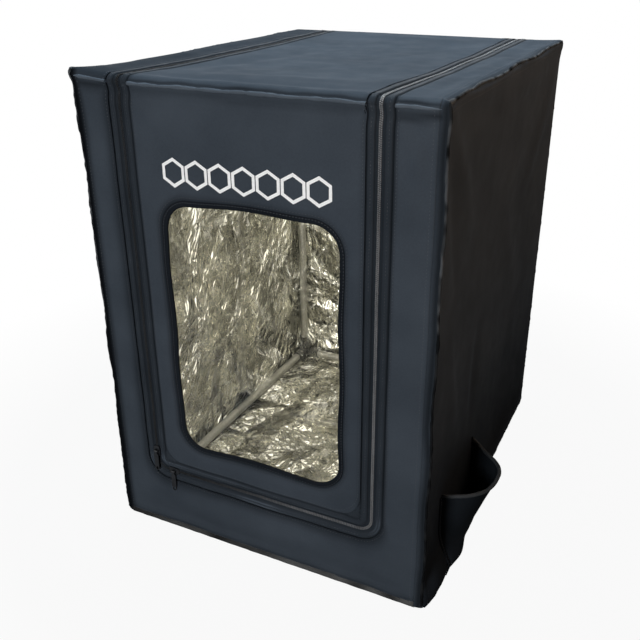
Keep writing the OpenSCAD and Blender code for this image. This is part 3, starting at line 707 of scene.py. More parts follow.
def ring_points(inner, outer, deep, m, lip_in=True, lip_out=True):
    """Front sheet of m rings between two closed outlines with the same number of points."""
    gap = np.linalg.norm(outer - inner, axis=1)
    near = np.array([0, 0.0004, 0.0008, 0.0012])
    cols = [inner + (outer - inner) * (d / gap)[:, None] for d in near]
    shares = np.linspace(0, 1, m + 1)[1:-1]
    cols += [inner + (outer - inner) * ((0.0012 + (gap - 0.0024) * s) / gap)[:, None] for s in shares]
    cols += [outer + (inner - outer) * (d / gap)[:, None] for d in near[::-1]]
    lip = np.zeros(len(cols))
    if lip_in:
        lip[:4] = soft_lip(near)
    if lip_out:
        lip[-4:] = soft_lip(near[::-1])
    grid = np.stack(cols)
    y = -HALF_D + deep + np.broadcast_to(lip[:, None], grid.shape[:2])
    p = np.stack([grid[..., 0], y, grid[..., 1]], -1).reshape(-1, 3)
    return p, grid_faces(len(cols), len(inner), closed=True), grid.reshape(-1, 2)


def closed_doorway(half, low, r, n):
    """Door outline with n points from the middle of its top edge anticlockwise."""
    d = doorway(half, low, SHOULDER_Z, r)
    return even(np.vstack([[[0, SHOULDER_Z]], d, [[0, SHOULDER_Z]]]), n + 1)[:-1]


def match_corners(inner, outer):
    """Turns each point of the outer outline so that it faces the inner one's point."""
    c = np.array([0, WIN_MID])
    dense = even(np.vstack([outer, outer[:1]]), 4000)
    ang = np.unwrap(np.arctan2(dense[:, 1] - c[1], dense[:, 0] - c[0]))
    want = np.unwrap(np.arctan2(inner[:, 1] - c[1], inner[:, 0] - c[0]))
    want = want + 2 * np.pi * np.round((ang[0] - want[0]) / (2 * np.pi))
    s = np.interp(want, ang, np.arange(len(dense)), period=2 * np.pi)
    k = np.clip(s.astype(int), 0, len(dense) - 2)
    w = (s - k)[:, None]
    return dense[k] * (1 - w) + dense[k + 1] * w


def cover_normal(p):
    """Outward direction of the nominal cover at points on it."""
    low, high = np.array([-FLAT_X, -FLAT_Y, EDGE_R]), np.array([FLAT_X, FLAT_Y, SHOULDER_Z])
    d = p - np.clip(p, low, high)
    return d / np.maximum(np.linalg.norm(d, axis=1, keepdims=True), 1e-9)


def outward(p, f):
    """Faces turned so that they look away from the middle of the tent."""
    q = np.array([x[:4] for x in f if len(x) >= 4])
    n = np.cross(p[q[:, 2]] - p[q[:, 0]], p[q[:, 3]] - p[q[:, 1]])
    return f if (n * cover_normal(p[q].mean(1))).sum() > 0 else [x[::-1] for x in f]


def crumple(p):
    """Creased height from 0 to 1: long upright creases, and shorter ones across them."""
    q = p * [1.0, 1.0, 0.45]
    layers = ((p, 0.080, 11, 0.9), (q, 0.036, 12, 0.8), (q, 0.017, 13, 0.6), (p, 0.011, 14, 0.4))
    h = sum(a * (1 - np.abs(noise(r, size, k))) for r, size, k, a in layers)
    return h / 2.7


def crinkle(p, out, amount=0.0030):
    """Pushes foil points inwards by a creased pattern, less near the edges, where the frame lies behind."""
    middle, half = [0, 0, TENT_H / 2], [HALF_W, HALF_D, TENT_H / 2]
    away = np.sort(half - np.abs(p - middle), axis=1)[:, 1]
    return p - out * (amount * (0.18 + 0.82 * smooth(0.016, 0.050, away)) * crumple(p))[:, None]


def cloth_piece(name, pts, body, node_name):
    p, f, uv = pts
    v, faces = thicken(slack(p), outward(p, f), DRAWN_CLOTH)
    shade = np.tile(painted_shade(p), 2)
    o = piece(name, v, faces, CLOTH_M, body, np.vstack([uv, uv]), node_name, shade=shade)
    return o


def foil_piece(name, pts, body, node_name):
    p, f, uv = pts
    v = crinkle(slack(p), cover_normal(p))
    o = piece(name, v, [q[::-1] for q in outward(p, f)], FOIL_M, body, uv, node_name)
    return o


# Cover
for side, word in ((-1, "left"), (1, "right")):
    cloth_piece(f"cover_{word}_wall", side_points(side, 0, STEP),
                "enclosure", f"{word}_wall")
    foil_piece(f"foil_{word}_wall", side_points(side, FOIL_DEEP, FOIL_STEP),
               "enclosure", f"{word}_lining")
    a, b = sorted((side * FLAT_X, side * (ZIP_X + BAND)))
    cloth_piece(f"cover_roof_strip_{word}", roof_points(a, b, 0, STEP, (side > 0, side < 0)),
                "enclosure", f"roof_strip_{word}")
    a, b = sorted((side * FLAT_X, side * (ZIP_X + TAPE_END)))
    foil_piece(f"foil_roof_strip_{word}", roof_points(a, b, FOIL_DEEP, FOIL_STEP, (False, False)),
               "enclosure", f"roof_strip_{word}_lining")


def back_points(deep, step):
    port = [PORT_X - PORT_W / 2, PORT_X + PORT_W / 2]
    xs = np.unique(np.concatenate([spread(-FLAT_X, FLAT_X, step), port]))
    prof = upright_profile(deep, step)
    extra = [(EDGE_R - deep, z, z) for z in (PORT_Z - PORT_H / 2, PORT_Z + PORT_H / 2)]
    prof = np.array(sorted(np.vstack([prof, extra]).tolist(), key=lambda k: k[2]))
    p, f, uv = strip_points(1, xs, prof)
    keep = []
    for q in f:
        c = p[q].mean(0)
        if not (abs(c[0] - PORT_X) < PORT_W / 2 and abs(c[2] - PORT_Z) < PORT_H / 2 and c[1] > FLAT_Y):
            keep.append(q)
    return p, keep, uv


BACK_NODES = ["back_wall", "back_band_left", "back_band_right", "back_band_sill"]
cloth_piece("cover_back_wall", back_points(0, STEP), "enclosure", BACK_NODES)
foil_piece("foil_back_wall", back_points(FOIL_DEEP, FOIL_STEP),
           "enclosure", "back_lining")
cloth_piece("cover_front_surround", surround_points(0, BAND, STEP),
            "enclosure", "front_surround")
foil_piece("foil_front_surround", surround_points(FOIL_DEEP, TAPE_END, FOIL_STEP),
           "enclosure", "surround_lining")


def floor_points(z, step):
    xs, ys = spread(-FLAT_X, FLAT_X, step), spread(-FLAT_Y, FLAT_Y, step)
    xx, yy = np.meshgrid(xs, ys, indexing="ij")
    p = np.stack([xx, yy, np.full_like(xx, z)], -1).reshape(-1, 3)
    return p, [q[::-1] for q in grid_faces(len(xs), len(ys))], np.stack([xx, yy], -1).reshape(-1, 2)


p, f, uv = floor_points(0.0, 0.02)
v, faces = thicken(p, f, CLOTH)
o = piece("cover_floor", v, faces, CLOTH_M, "enclosure", np.vstack([uv, uv]), "floor_panel")
p, f, uv = floor_points(0.0017, FOIL_STEP)
v = p.copy()
v[:, 2] += 0.0026 * crumple(p)
o = piece("foil_floor", v, [q[::-1] for q in f], FOIL_M, "enclosure", uv, "floor_lining")

# Roof flap
cloth_piece("roof_flap_cloth", roof_points(-DOOR_HALF, DOOR_HALF, 0, STEP),
            "roof_flap", "roof_panel")
foil_piece("roof_flap_foil", roof_points(-LINING_HALF, LINING_HALF, FOIL_DEEP, FOIL_STEP, (False, False)),
           "roof_flap", "roof_lining")

# Front door
RING_POINTS = 320
window = rounded(WIN_W, WIN_H, WIN_R, RING_POINTS) + [0, WIN_MID]
door_edge = match_corners(window, closed_doorway(DOOR_HALF, ZIP_Z + BAND, DOOR_R, RING_POINTS))
cloth_piece("door_cloth", ring_points(window, door_edge, 0, 26),
            "front_door", "door_panel")
pane_edge = rounded(WIN_W + 2 * WIN_SEAM, WIN_H + 2 * WIN_SEAM, WIN_R + WIN_SEAM, RING_POINTS) + [0, WIN_MID]
lining_edge = match_corners(pane_edge, closed_doorway(LINING_HALF, ZIP_Z + TAPE_END, DOOR_R, RING_POINTS))
foil_piece("door_foil", ring_points(pane_edge, lining_edge, FOIL_DEEP, 20, False, False),
           "front_door", "door_lining")


def pane_points(deep):
    """Clear sheet as rings shrinking to the middle."""
    c = np.array([0, WIN_MID])
    rings = [c + (pane_edge - c) * s for s in np.linspace(1, 0.02, 34)]
    grid = np.stack(rings)
    p = np.stack([grid[..., 0], np.full(grid.shape[:2], -HALF_D + deep), grid[..., 1]], -1).reshape(-1, 3)
    f = [q[::-1] for q in grid_faces(len(rings), RING_POINTS, closed=True)]
    f.append([(len(rings) - 1) * RING_POINTS + i for i in range(RING_POINTS)][::-1])
    return p, f, grid.reshape(-1, 2)


p, f, uv = pane_points(CLOTH + 0.0001)
v, faces = thicken(slack(p), outward(p, f), 0.0004)
o = piece("window_sheet", v, faces, WINDOW_M, "front_door", np.vstack([uv, uv]), "window_pane")

# Zip: strips along the line of the zip, at a distance to the outside (positive) or to the door (negative)

# How far inside the zip line its corners keep one centre
EVEN_TURN = 0.006


def zip_radius(lat):
    """Radius of the zip's lower corners: even outside, growing to the door's own radius inside."""
    if lat >= -EVEN_TURN:
        return ZIP_R + lat
    tight = ZIP_R - EVEN_TURN
    return tight + (-lat - EVEN_TURN) / (BAND - EVEN_TURN) * (DOOR_R - tight)


def u_line(lat, sides=80, turn=10, low=46):
    """Front run of the zip as x and z, from the upper left down and round to the upper right."""
    r, half, base = zip_radius(lat), ZIP_X + lat, ZIP_Z - lat
    down = np.stack([np.full(sides, -half), np.linspace(SHOULDER_Z, base + r, sides + 1)[:-1]], -1)
    along = np.stack([np.linspace(r - half, half - r, low + 1)[1:-1], np.full(low - 1, base)], -1)
    turns = [arc((r - half, base + r), r, 180, 270, turn), arc((half - r, base + r), r, 270, 360, turn)]
    return np.vstack([down, turns[0], along, turns[1], down[::-1] * [-1, 1]])


def front_run(lat, deep):
    u = u_line(lat)
    return np.stack([u[:, 0], np.full(len(u), deep - HALF_D), u[:, 1]], -1)


def bend_run(side, lat, deep, n=8):
    """Turn over the front top edge, from the front to the roof."""
    a = np.radians(np.linspace(0, 90, n + 1))
    x, r = np.full(n + 1, side * (ZIP_X + lat)), EDGE_R - deep
    return np.stack([x, -FLAT_Y - r * np.cos(a), SHOULDER_Z + r * np.sin(a)], -1)


def roof_run(side, lat, deep, n=86):
    y = np.linspace(-FLAT_Y, FLAT_Y, n + 1)
    return np.stack([np.full(n + 1, side * (ZIP_X + lat)), y, np.full(n + 1, TENT_H - deep)], -1)


def whole_run(lat, deep):
    left = [roof_run(-1, lat, deep)[::-1], bend_run(-1, lat, deep)[::-1][1:-1]]
    right = [bend_run(1, lat, deep)[1:-1], roof_run(1, lat, deep)]
    return np.vstack([*left, front_run(lat, deep), *right])


# Cross-section of a tape with the hem folded beside the teeth: distance from the zip line, and depth in mm
TAPE_SHAPE = [
    (0.0001, 1.75), (0.0030, 1.75), (0.0062, 1.72), (0.0066, 0.90), (0.0071, 0.10), (0.0080, -0.45),
    (0.0094, -0.65), (0.0107, -0.50), (0.0113, -0.26), (0.0119, -0.48), (0.0133, -0.60), (0.0146, -0.40),
    (0.0155, 0.20), (0.0162, 1.10), (0.0170, 1.80), (0.0180, 2.00), (0.0240, 1.90)]


def tape_points(sign, run):
    cols = [run(sign * lat, deep / 1000) for lat, deep in TAPE_SHAPE]
    grid = np.stack(cols, 1)
    along = np.concatenate([[0], np.cumsum(np.linalg.norm(np.diff(grid[:, 0], axis=0), axis=1))])
    across = np.array([lat for lat, _ in TAPE_SHAPE])
    uv = np.stack(np.broadcast_arrays(along[:, None], across[None]), -1).reshape(-1, 2)
    p = grid.reshape(-1, 3)
    return p, outward(p, grid_faces(len(grid), len(cols))), uv


def tape_piece(name, parts, body, nodes):
    p, f, uv = join(parts)
    rough = 0.6 * noise(p, 0.011, 91) + 0.4 * noise(p, 0.0055, 92)
    ridge = smooth(0.006, 0.008, np.abs(zip_distance(p))) * rough
    v, faces = thicken(slack(p) + cover_normal(p) * (0.00045 * ridge)[:, None], f, 0.0004)
    shade = np.tile(tape_painted_shade(p), 2)
    o = piece(name, v, faces, TAPE_M, body, np.vstack([uv, uv]), nodes, shade=shade)
    return o


def frames(line, normal):
    """Even stations along a line with tangent, outward normal and sideways direction."""
    t = np.gradient(line, axis=0)
    t /= np.linalg.norm(t, axis=1, keepdims=True)
    n = normal - t * (normal * t).sum(1, keepdims=True)
    n /= np.linalg.norm(n, axis=1, keepdims=True)
    return t, n, np.cross(t, n)


def teeth_points(line, sign, pitch=0.0026, shift=0.0):
    """Row of moulded teeth on one side of a line that lies on the cover's outer face."""
    length = np.linalg.norm(np.diff(line, axis=0), axis=1).sum()
    n = max(int(length / pitch), 2)
    dense = even(line, 2 * n + 1)[(1 if shift else 0)::2]
    t, nor, side = frames(dense, cover_normal(dense))
    away = np.where((side * side_ref(dense)).sum(1, keepdims=True) > 0, side, -side) * sign
    rings = [
        (0.00070, 0.0003, 0.0019, 0.0030),
        (0.00078, 0.0002, 0.0021, 0.0009),
        (0.00050, 0.0004, 0.0017, 0.0003)]
    v = []
    for half, a, b, deep in rings:
        for k, l in ((-half, a), (half, a), (half, b), (-half, b)):
            v.append(dense + t * k + away * l - nor * deep)
    v = np.stack(v, 1)
    cell = [[3, 2, 1, 0], [8, 9, 10, 11]]
    for r in (0, 4):
        cell += [[r + i, r + (i + 1) % 4, r + 4 + (i + 1) % 4, r + 4 + i] for i in range(4)]
    f = [[12 * i + k for k in c] for i in range(len(dense)) for c in cell]
    return v.reshape(-1, 3), f


def painted_teeth_shade(p):
    """Painted shade on the teeth: dark on the left, fading out towards the right run, which keeps the pale
    colour as a painted highlight.
    """
    return 0.85 * (1 - smooth(-0.12, 0.17, p[:, 0]))


def side_ref(p):
    """Direction in the cover's face that leads away from the door and the roof flap."""
    ref = np.zeros_like(p)
    roof = p[:, 2] > SHOULDER_Z - 0.001
    ref[roof, 0] = np.sign(p[roof, 0])
    across = np.clip(p[:, 0], ZIP_R - ZIP_X, ZIP_X - ZIP_R)
    c = np.stack([across, p[:, 1], np.maximum(p[:, 2], ZIP_Z + ZIP_R)], -1)
    d = p - c
    ref[~roof] = d[~roof]
    return ref


def stack(parts):
    v, f, base = [], [], 0
    for p, q in parts:
        v.append(p)
        f += [[i + base for i in x] for x in q]
        base += len(p)
    return np.vstack(v), f


def stitch_points(lines, long=0.0032, pitch=0.0046, wide=0.00042):
    """Small threads along lines on the cover, each dipping into the cloth at both ends."""
    v, f = [], []
    for line in lines:
        length = np.linalg.norm(np.diff(line, axis=0), axis=1).sum()
        n = max(int(length / pitch), 1)
        mid = even(line, 2 * n + 1)[1::2]
        t, nor, side = frames(mid, cover_normal(mid))
        mid = slack(mid)
        half, dip = t * long / 2, nor * 0.0002
        ring = [mid - half - dip, mid + half - dip, mid + side * wide, mid + nor * wide, mid - side * wide]
        base = sum(len(x) for x in v)
        v.append(np.stack(ring, 1).reshape(-1, 3))
        for i in range(len(mid)):
            k = base + 5 * i
            f += [[k, k + 2, k + 3], [k, k + 3, k + 4], [k + 1, k + 3, k + 2], [k + 1, k + 4, k + 3]]
    return np.vstack(v), f


def tube_points(line, radius, sides=10):
    """Round cord along a line, with a radius at each of its points."""
    _, n, b = frames(line, cover_normal(line))
    a = np.linspace(0, 2 * np.pi, sides, endpoint=False)
    r = np.broadcast_to(radius, len(line))[:, None, None]
    round_n, round_b = np.cos(a)[None, :, None] * n[:, None], np.sin(a)[None, :, None] * b[:, None]
    ring = line[:, None] + r * (round_n + round_b)
    f = grid_faces(len(line), sides, closed=True)
    v = ring.reshape(-1, 3)
    f += [list(range(sides)), [len(v) - 1 - i for i in range(sides)]]
    return v, f


# Tapes and teeth
def both_sides(run):
    """The two runs of a tape on the left and the right."""
    return [tape_points(-1, lambda lat, deep, s=s: run(s, lat, deep)) for s in (-1, 1)]


def teeth_piece(name, rows, body=None, nodes=()):
    v, f = stack(rows)
    piece(name, slack(v), f, TEETH_M, body, node=nodes, shade=painted_teeth_shade(v), smooth_faces=False)


tape_piece("zip_tape_fixed", [tape_points(1, whole_run)], "enclosure", "fixed_zip_tape")
tape_piece("zip_tape_roof", both_sides(roof_run), "roof_flap", "roof_zip_tape")
tape_piece("zip_tape_door", [tape_points(-1, front_run)], "front_door", "door_zip_tape")
tape_piece("zip_tape_fold", both_sides(bend_run), None, ())
teeth_piece("zip_teeth_fixed", [teeth_points(whole_run(0, 0), 1)], "enclosure", "fixed_zip_teeth")
roof_rows = [teeth_points(roof_run(s, 0, 0), -1, shift=1) for s in (-1, 1)]
teeth_piece("zip_teeth_roof", roof_rows, "roof_flap", "roof_zip_teeth")
teeth_piece("zip_teeth_door", [teeth_points(front_run(0, 0), -1, shift=1)], "front_door", "door_zip_teeth")
teeth_piece("zip_teeth_fold", [teeth_points(bend_run(s, 0, 0), -1, shift=1) for s in (-1, 1)])

# Cloth that turns over the front top edge between the roof flap and the door
xs = spread(-DOOR_HALF, DOOR_HALF, STEP, (0.0004, 0.0008, 0.0012))
a = np.radians(np.linspace(0, 90, 13))
drop = soft_lip(DOOR_HALF - np.abs(xs))
r = EDGE_R - drop
rows = [np.stack([xs, -FLAT_Y - r * math.cos(k), SHOULDER_Z + r * math.sin(k)], -1) for k in a]
grid = np.stack(rows, 1)
p = grid.reshape(-1, 3)
uv = np.stack(np.broadcast_arrays(xs[:, None], (SHOULDER_Z + EDGE_R * a)[None]), -1).reshape(-1, 2)
v, faces = thicken(slack(p), outward(p, grid_faces(len(xs), len(a))), DRAWN_CLOTH)
shade = np.tile(painted_shade(p), 2)
o = piece("fold_cloth", v, faces, CLOTH_M, None, np.vstack([uv, uv]), "front_fold", shade=shade)

# Piping sewn into the edges of the cover
PIPE_R = 0.0022


def edge_line(a, b, step=0.006, tilt=(1, 1, 1)):
    """Line along a rounded edge of the cover, mid-round, between two points of the inner box."""
    a, b = np.array(a, float), np.array(b, float)
    n = max(int(np.linalg.norm(b - a) / step), 1)
    p = a + (b - a) * np.linspace(0, 1, n + 1)[:, None]
    d = np.sign(p.mean(0) - [0, 0, TENT_H / 2]) * (np.abs(b - a) < 1e-9)
    return p + d * tilt / np.linalg.norm(d * tilt) * (EDGE_R - 0.0006)


def pipe(lines, seed, r=PIPE_R, taper=0.0):
    """Cords of piping, puckered by the stitching, that may taper off at the far end."""
    parts = []
    for line in lines:
        s = np.concatenate([[0], np.cumsum(np.linalg.norm(np.diff(line, axis=0), axis=1))])
        fine = even(line, max(int(s[-1] / 0.0024), 3))
        wob = noise(fine + 0.3, 0.011, seed) * 0.55 + noise(fine, 0.0055, seed + 1) * 0.45
        thin = np.sqrt(np.linspace(s[-1] / taper, 0, len(fine)).clip(0.02, 1)) if taper else 1.0
        v, f = tube_points(fine, r * thin * (1 + 0.40 * wob))
        n = np.repeat(cover_normal(fine), 10, axis=0)
        parts.append((slack(v) + n * (0.0005 * np.repeat(wob, 10))[:, None], f))
    return stack(parts)


def to_corner(line, corner):
    """The line carried on to the tip of a rounded corner at each end that meets one."""
    tip = np.array(corner, float)
    c = tip + np.sign(tip - [0, 0, TENT_H / 2]) / math.sqrt(3) * (EDGE_R - 0.0006)
    return np.vstack([line, line[-1] * 0.5 + c * 0.5 + cover_normal((line[-1:] + c) / 2)[0] * 0.0012, c])


def full_edge(a, b):
    """Line along a whole edge to the tips of its corners, but short of the two soft lower front ones."""
    line = edge_line(a, b)
    for end in (b, a):
        soft = end[1] < 0 and end[2] < TENT_H / 2
        line = (line if soft else to_corner(line, end))[::-1]
    return line


lines = []
for sx in (-FLAT_X, FLAT_X):
    for sy in (-FLAT_Y, FLAT_Y):
        lines.append(full_edge((sx, sy, EDGE_R), (sx, sy, SHOULDER_Z)))
    for sz in (EDGE_R, SHOULDER_Z):
        lines.append(full_edge((sx, -FLAT_Y, sz), (sx, FLAT_Y, sz)))
lines += [full_edge((-FLAT_X, FLAT_Y, sz), (FLAT_X, FLAT_Y, sz)) for sz in (SHOULDER_Z, EDGE_R)]
v, f = pipe(lines, 31)
# Painted shade on the piping: heavy low down, and higher up broken into spots of painted highlight between
# darker stretches
high = smooth(0.30, 0.52, v[:, 2])
bead_painted_shade = np.clip(0.90 - 0.50 * high + (0.15 + 0.75 * high) * noise(v, 0.013, 37), 0, 0.92)
piece("seam_piping", v, f, HEM_M, "enclosure", v[:, 1:], shade=bead_painted_shade)
turn = np.radians(np.linspace(-75, 0, 9))
LIFT = 0.0005
profile = [(EDGE_R * math.cos(a) + LIFT, EDGE_R + (EDGE_R + LIFT) * math.sin(a), EDGE_R * a) for a in turn]
profile += [(EDGE_R + LIFT, EDGE_R + 0.003, 0.003), (EDGE_R + 0.0002, EDGE_R + 0.0045, 0.0045)]
p, f, uv = strip_points(-1, spread(-FLAT_X, FLAT_X, 0.004), np.array(profile))
v = slack(p) + np.outer(0.0005 * noise(p, 0.010, 33), (0, -1, 0))
v[:, 2] += 0.0016 * noise(p * [1, 0, 0], 0.026, 38) * smooth(0.0, EDGE_R + 0.004, p[:, 2])
v, faces = thicken(v, outward(p, f), 0.0008)
# The hem is painted lighter as floor bounce; painted shade over it is patchy and grows towards the left
uneven_painted_light = np.clip(0.30 + 0.55 * noise(p, 0.028, 39) - 0.5 * p[:, 0], 0, 0.85)
piece("front_hem", v, faces, HEM_PAINTED_BOUNCE_M, "enclosure", np.vstack([uv, uv]), shade=np.tile(uneven_painted_light, 2))
ROLL_R, ROLL_TILT = 0.0027, (1, 1, 0.05)


def roll_line(x0, x1):
    return edge_line((x0, -FLAT_Y, SHOULDER_Z), (x1, -FLAT_Y, SHOULDER_Z), tilt=ROLL_TILT)


rolls = [roll_line(s * (ZIP_X + BAND), s * (FLAT_X + 0.001)) for s in (-1, 1)]
v, f = pipe(rolls, 35, ROLL_R, taper=0.012)
piece("front_roll", v, f, ROLL_HIGHLIGHT_M, "enclosure", v[:, :2])
v, f = pipe([roll_line(-DOOR_HALF, DOOR_HALF)], 31, ROLL_R)
piece("fold_piping", v, f, ROLL_HIGHLIGHT_M, None, v[:, :2])

# Binding round the window and the cable port: distance out from the opening, and height above the cloth in mm
WELT_SHAPE = [
    (-0.0004, -1.7), (-0.0004, -0.6), (0.0000, 0.1), (0.0005, 0.50), (0.0013, 0.72), (0.0030, 0.80),
    (0.0050, 0.72), (0.0057, 0.56), (0.0064, 0.70), (0.0073, 0.60), (0.0080, 0.25), (0.0084, -0.3)]


def welt_points(w, h, r, mid, front, n):
    grid = []
    for off, up in WELT_SHAPE:
        q = rounded(w + 2 * off, h + 2 * off, r + off, n) + mid
        y = -HALF_D - up / 1000 if front else HALF_D + up / 1000
        grid.append(np.stack([q[:, 0], np.full(n, y), q[:, 1]], -1))
    g = np.stack(grid)
    p = g.reshape(-1, 3)
    wave = noise(p, 0.013, 41) * 0.5 + noise(p, 0.030, 42) * 0.5
    p[:, 1] += (-1 if front else 1) * wave * 0.00025
    return p, outward(p, grid_faces(len(g), n, closed=True)), np.stack([p[:, 0], p[:, 2]], -1)


p, f, uv = welt_points(WIN_W, WIN_H, WIN_R, [0, WIN_MID], True, 480)
piece("window_binding", slack(p), f, BIND_M, "front_door", uv, "window_welt")
p, f, uv = welt_points(PORT_W, PORT_H, PORT_R, [PORT_X, PORT_Z], False, 240)
piece("port_binding", slack(p), f, HEM_M, "enclosure", uv, "cable_port_welt")

# Pocket
POUCH_FOLDS = [
    (-0.225, 0.040, -0.190, 0.110, 0.008, 0.0025),
    (-0.110, 0.035, -0.135, 0.105, 0.009, -0.0026),
    (-0.205, 0.030, -0.130, 0.038, 0.006, 0.0022)]


def pouch_depth(v):
    return (0.010 + (POUCH_GAPE - 0.010) * v) * np.sqrt(1 - (1 - np.minimum(v / 0.12, 1)) ** 2)


def pouch_points(nu=90, nv=56):
    """Pouch on the right wall with its sewn flange, as a grid across and up."""
    rim = POUCH_HALF + CLOTH + POUCH_SEAM
    flange = np.linspace(rim, POUCH_HALF + CLOTH, 5)[:-1]
    s = np.linspace(0, 1, nu + 1)
    vs = np.concatenate([[-1.0, -0.6, -0.2], np.linspace(0, 1, nv + 1) ** 1.35])
    rows = []
    for v in vs:
        up = POUCH_LOW + max(v, 0) * POUCH_H + min(v, 0) * (POUCH_SEAM + CLOTH)
        row = [(HALF_W + CLOTH, POUCH_Y - q, up) for q in flange]
        for k in s:
            ang = math.pi * k
            out = pouch_depth(np.float64(max(v, 0))) * math.sin(ang)
            row.append((HALF_W + CLOTH + max(out, 0), POUCH_Y - (POUCH_HALF + CLOTH) * math.cos(ang), up))
        row += [(HALF_W + CLOTH, POUCH_Y + q, up) for q in flange[::-1]]
        rows.append(row)
    g = np.array(rows)
    p = g.reshape(-1, 3)
    out = np.clip((p[:, 0] - HALF_W - CLOTH) / 0.03, 0, 1)
    vv = np.clip((p[:, 2] - POUCH_LOW) / POUCH_H, 0, 1)
    yy = (p[:, 1] - POUCH_Y) / POUCH_HALF
    fold = 0.0012 * np.sin(yy * 9 + 0.8 + 1.5 * vv) * (1 - vv) + 0.0014 * noise(p, 0.050, 51)
    fold += ridges(p[:, 1], p[:, 2], POUCH_FOLDS)
    p[:, 0] += fold * out
    rear = np.clip(yy, 0, 1)
    p[:, 0] -= (p[:, 0] - HALF_W - CLOTH) * 0.30 * rear ** 1.5
    p[:, 2] += (vv ** 3) * out * (0.0022 * np.sin(yy * 5 + 0.5) - 0.010 * rear)
    uv = np.stack([p[:, 1] + p[:, 0], p[:, 2]], -1)
    return p, grid_faces(g.shape[0], g.shape[1]), uv, g.shape


p, f, uv, shape = pouch_points()
if np.cross(p[1] - p[0], p[shape[1]] - p[0])[0] < 0:
    f = [q[::-1] for q in f]
v, faces = thicken(slack(p), f, DRAWN_CLOTH)
shade = np.full(len(v), POUCH_PAINTED_SHADE)
uv = np.vstack([uv, uv])
o = piece("pocket_pouch", v, faces, CLOTH_M, "enclosure", uv, "side_pocket", shade=shade)
mouth = p.reshape(shape)[-1][3:-3] + [0, 0, 0.0012]
v, f = tube_points(even(mouth, 150), 0.0030, 12)
wob = np.repeat(noise(even(mouth, 150), 0.012, 61), 12)
v[:, 2] += 0.0005 * wob
shade = np.full(len(v), POUCH_HEM_PAINTED_SHADE)
piece("pocket_binding", slack(v), f, HEM_M, "enclosure", v[:, 1:], "pocket_hem", shade=shade)

# Stitches
SEAM_IN, STITCH_LOW = 0.004, 0.020
BESIDE_BAND, ON_TAPE, ON_TAPE_DEEP = BAND + 0.0035, 0.0113, -0.0002
WHOLE_Y, WHOLE_Z, WHOLE_X = (-FLAT_Y, FLAT_Y), (STITCH_LOW, SHOULDER_Z), (-FLAT_X, FLAT_X)


def straight(x, y, z, n=60):
    """Line of n points. Each of x, y and z is one number or the numbers at the two ends."""
    return np.stack([np.linspace(*np.broadcast_to(c, 2), n) for c in (x, y, z)], -1)


fixed = [whole_run(BESIDE_BAND, 0.0), whole_run(ON_TAPE, ON_TAPE_DEEP)]
for s in (-1, 1):
    seam_x = s * (FLAT_X - SEAM_IN)
    fixed.append(straight(seam_x, -HALF_D, WHOLE_Z))
    fixed.append(straight(seam_x, WHOLE_Y, TENT_H))
    for y in (-FLAT_Y + SEAM_IN, FLAT_Y - SEAM_IN):
        fixed.append(straight(s * HALF_W, y, WHOLE_Z))
    for z in (EDGE_R + SEAM_IN, SHOULDER_Z - SEAM_IN):
        fixed.append(straight(s * HALF_W, WHOLE_Y, z))
    fixed.append(straight(seam_x, HALF_D, WHOLE_Z))
fixed.append(straight(WHOLE_X, -HALF_D, EDGE_R + SEAM_IN))
fixed.append(straight(WHOLE_X, HALF_D, SHOULDER_Z - SEAM_IN))
rim = POUCH_HALF + CLOTH + POUCH_SEAM / 2
seam_top, seam_low = POUCH_LOW + POUCH_H - 0.002, POUCH_LOW - 0.005
seam = [(-rim, seam_top), (-rim, seam_low), (rim, seam_low), (rim, seam_top)]
seam = np.array([(HALF_W + CLOTH, POUCH_Y + y, z) for y, z in seam])
fixed.append(even(seam, 120))
q = rounded(PORT_W + 0.0114, PORT_H + 0.0114, PORT_R + 0.0057, 160) + [PORT_X, PORT_Z]
fixed.append(np.stack([q[:, 0], np.full(160, HALF_D + 0.0009), q[:, 1]], -1))
for z in (PORT_Z + PORT_H / 2 - 0.002, PORT_Z + PORT_H / 2 + 0.003):
    for a, b in ((-FLAT_X, PORT_X - PORT_W / 2 - 0.009), (PORT_X + PORT_W / 2 + 0.009, FLAT_X)):
        fixed.append(straight((a, b), HALF_D, z))
v, f = stitch_points(fixed)
piece("stitches_cover", v, f, THREAD_M, "enclosure")
zip_rows = ((-BESIDE_BAND, 0), (-ON_TAPE, ON_TAPE_DEEP))
v, f = stitch_points([roof_run(s, lat, deep) for s in (-1, 1) for lat, deep in zip_rows])
piece("stitches_roof", v, f, THREAD_M, "roof_flap")
door_lines = [front_run(lat, deep) for lat, deep in zip_rows]
for off, up in ((0.0057, 0.0009), (0.0115, 0.0)):
    q = rounded(WIN_W + 2 * off, WIN_H + 2 * off, WIN_R + off, 480) + [0, WIN_MID]
    door_lines.append(on_front(np.vstack([q, q[:1]]), -up))
v, f = stitch_points(door_lines)
piece("stitches_door", v, f, THREAD_M, "front_door")

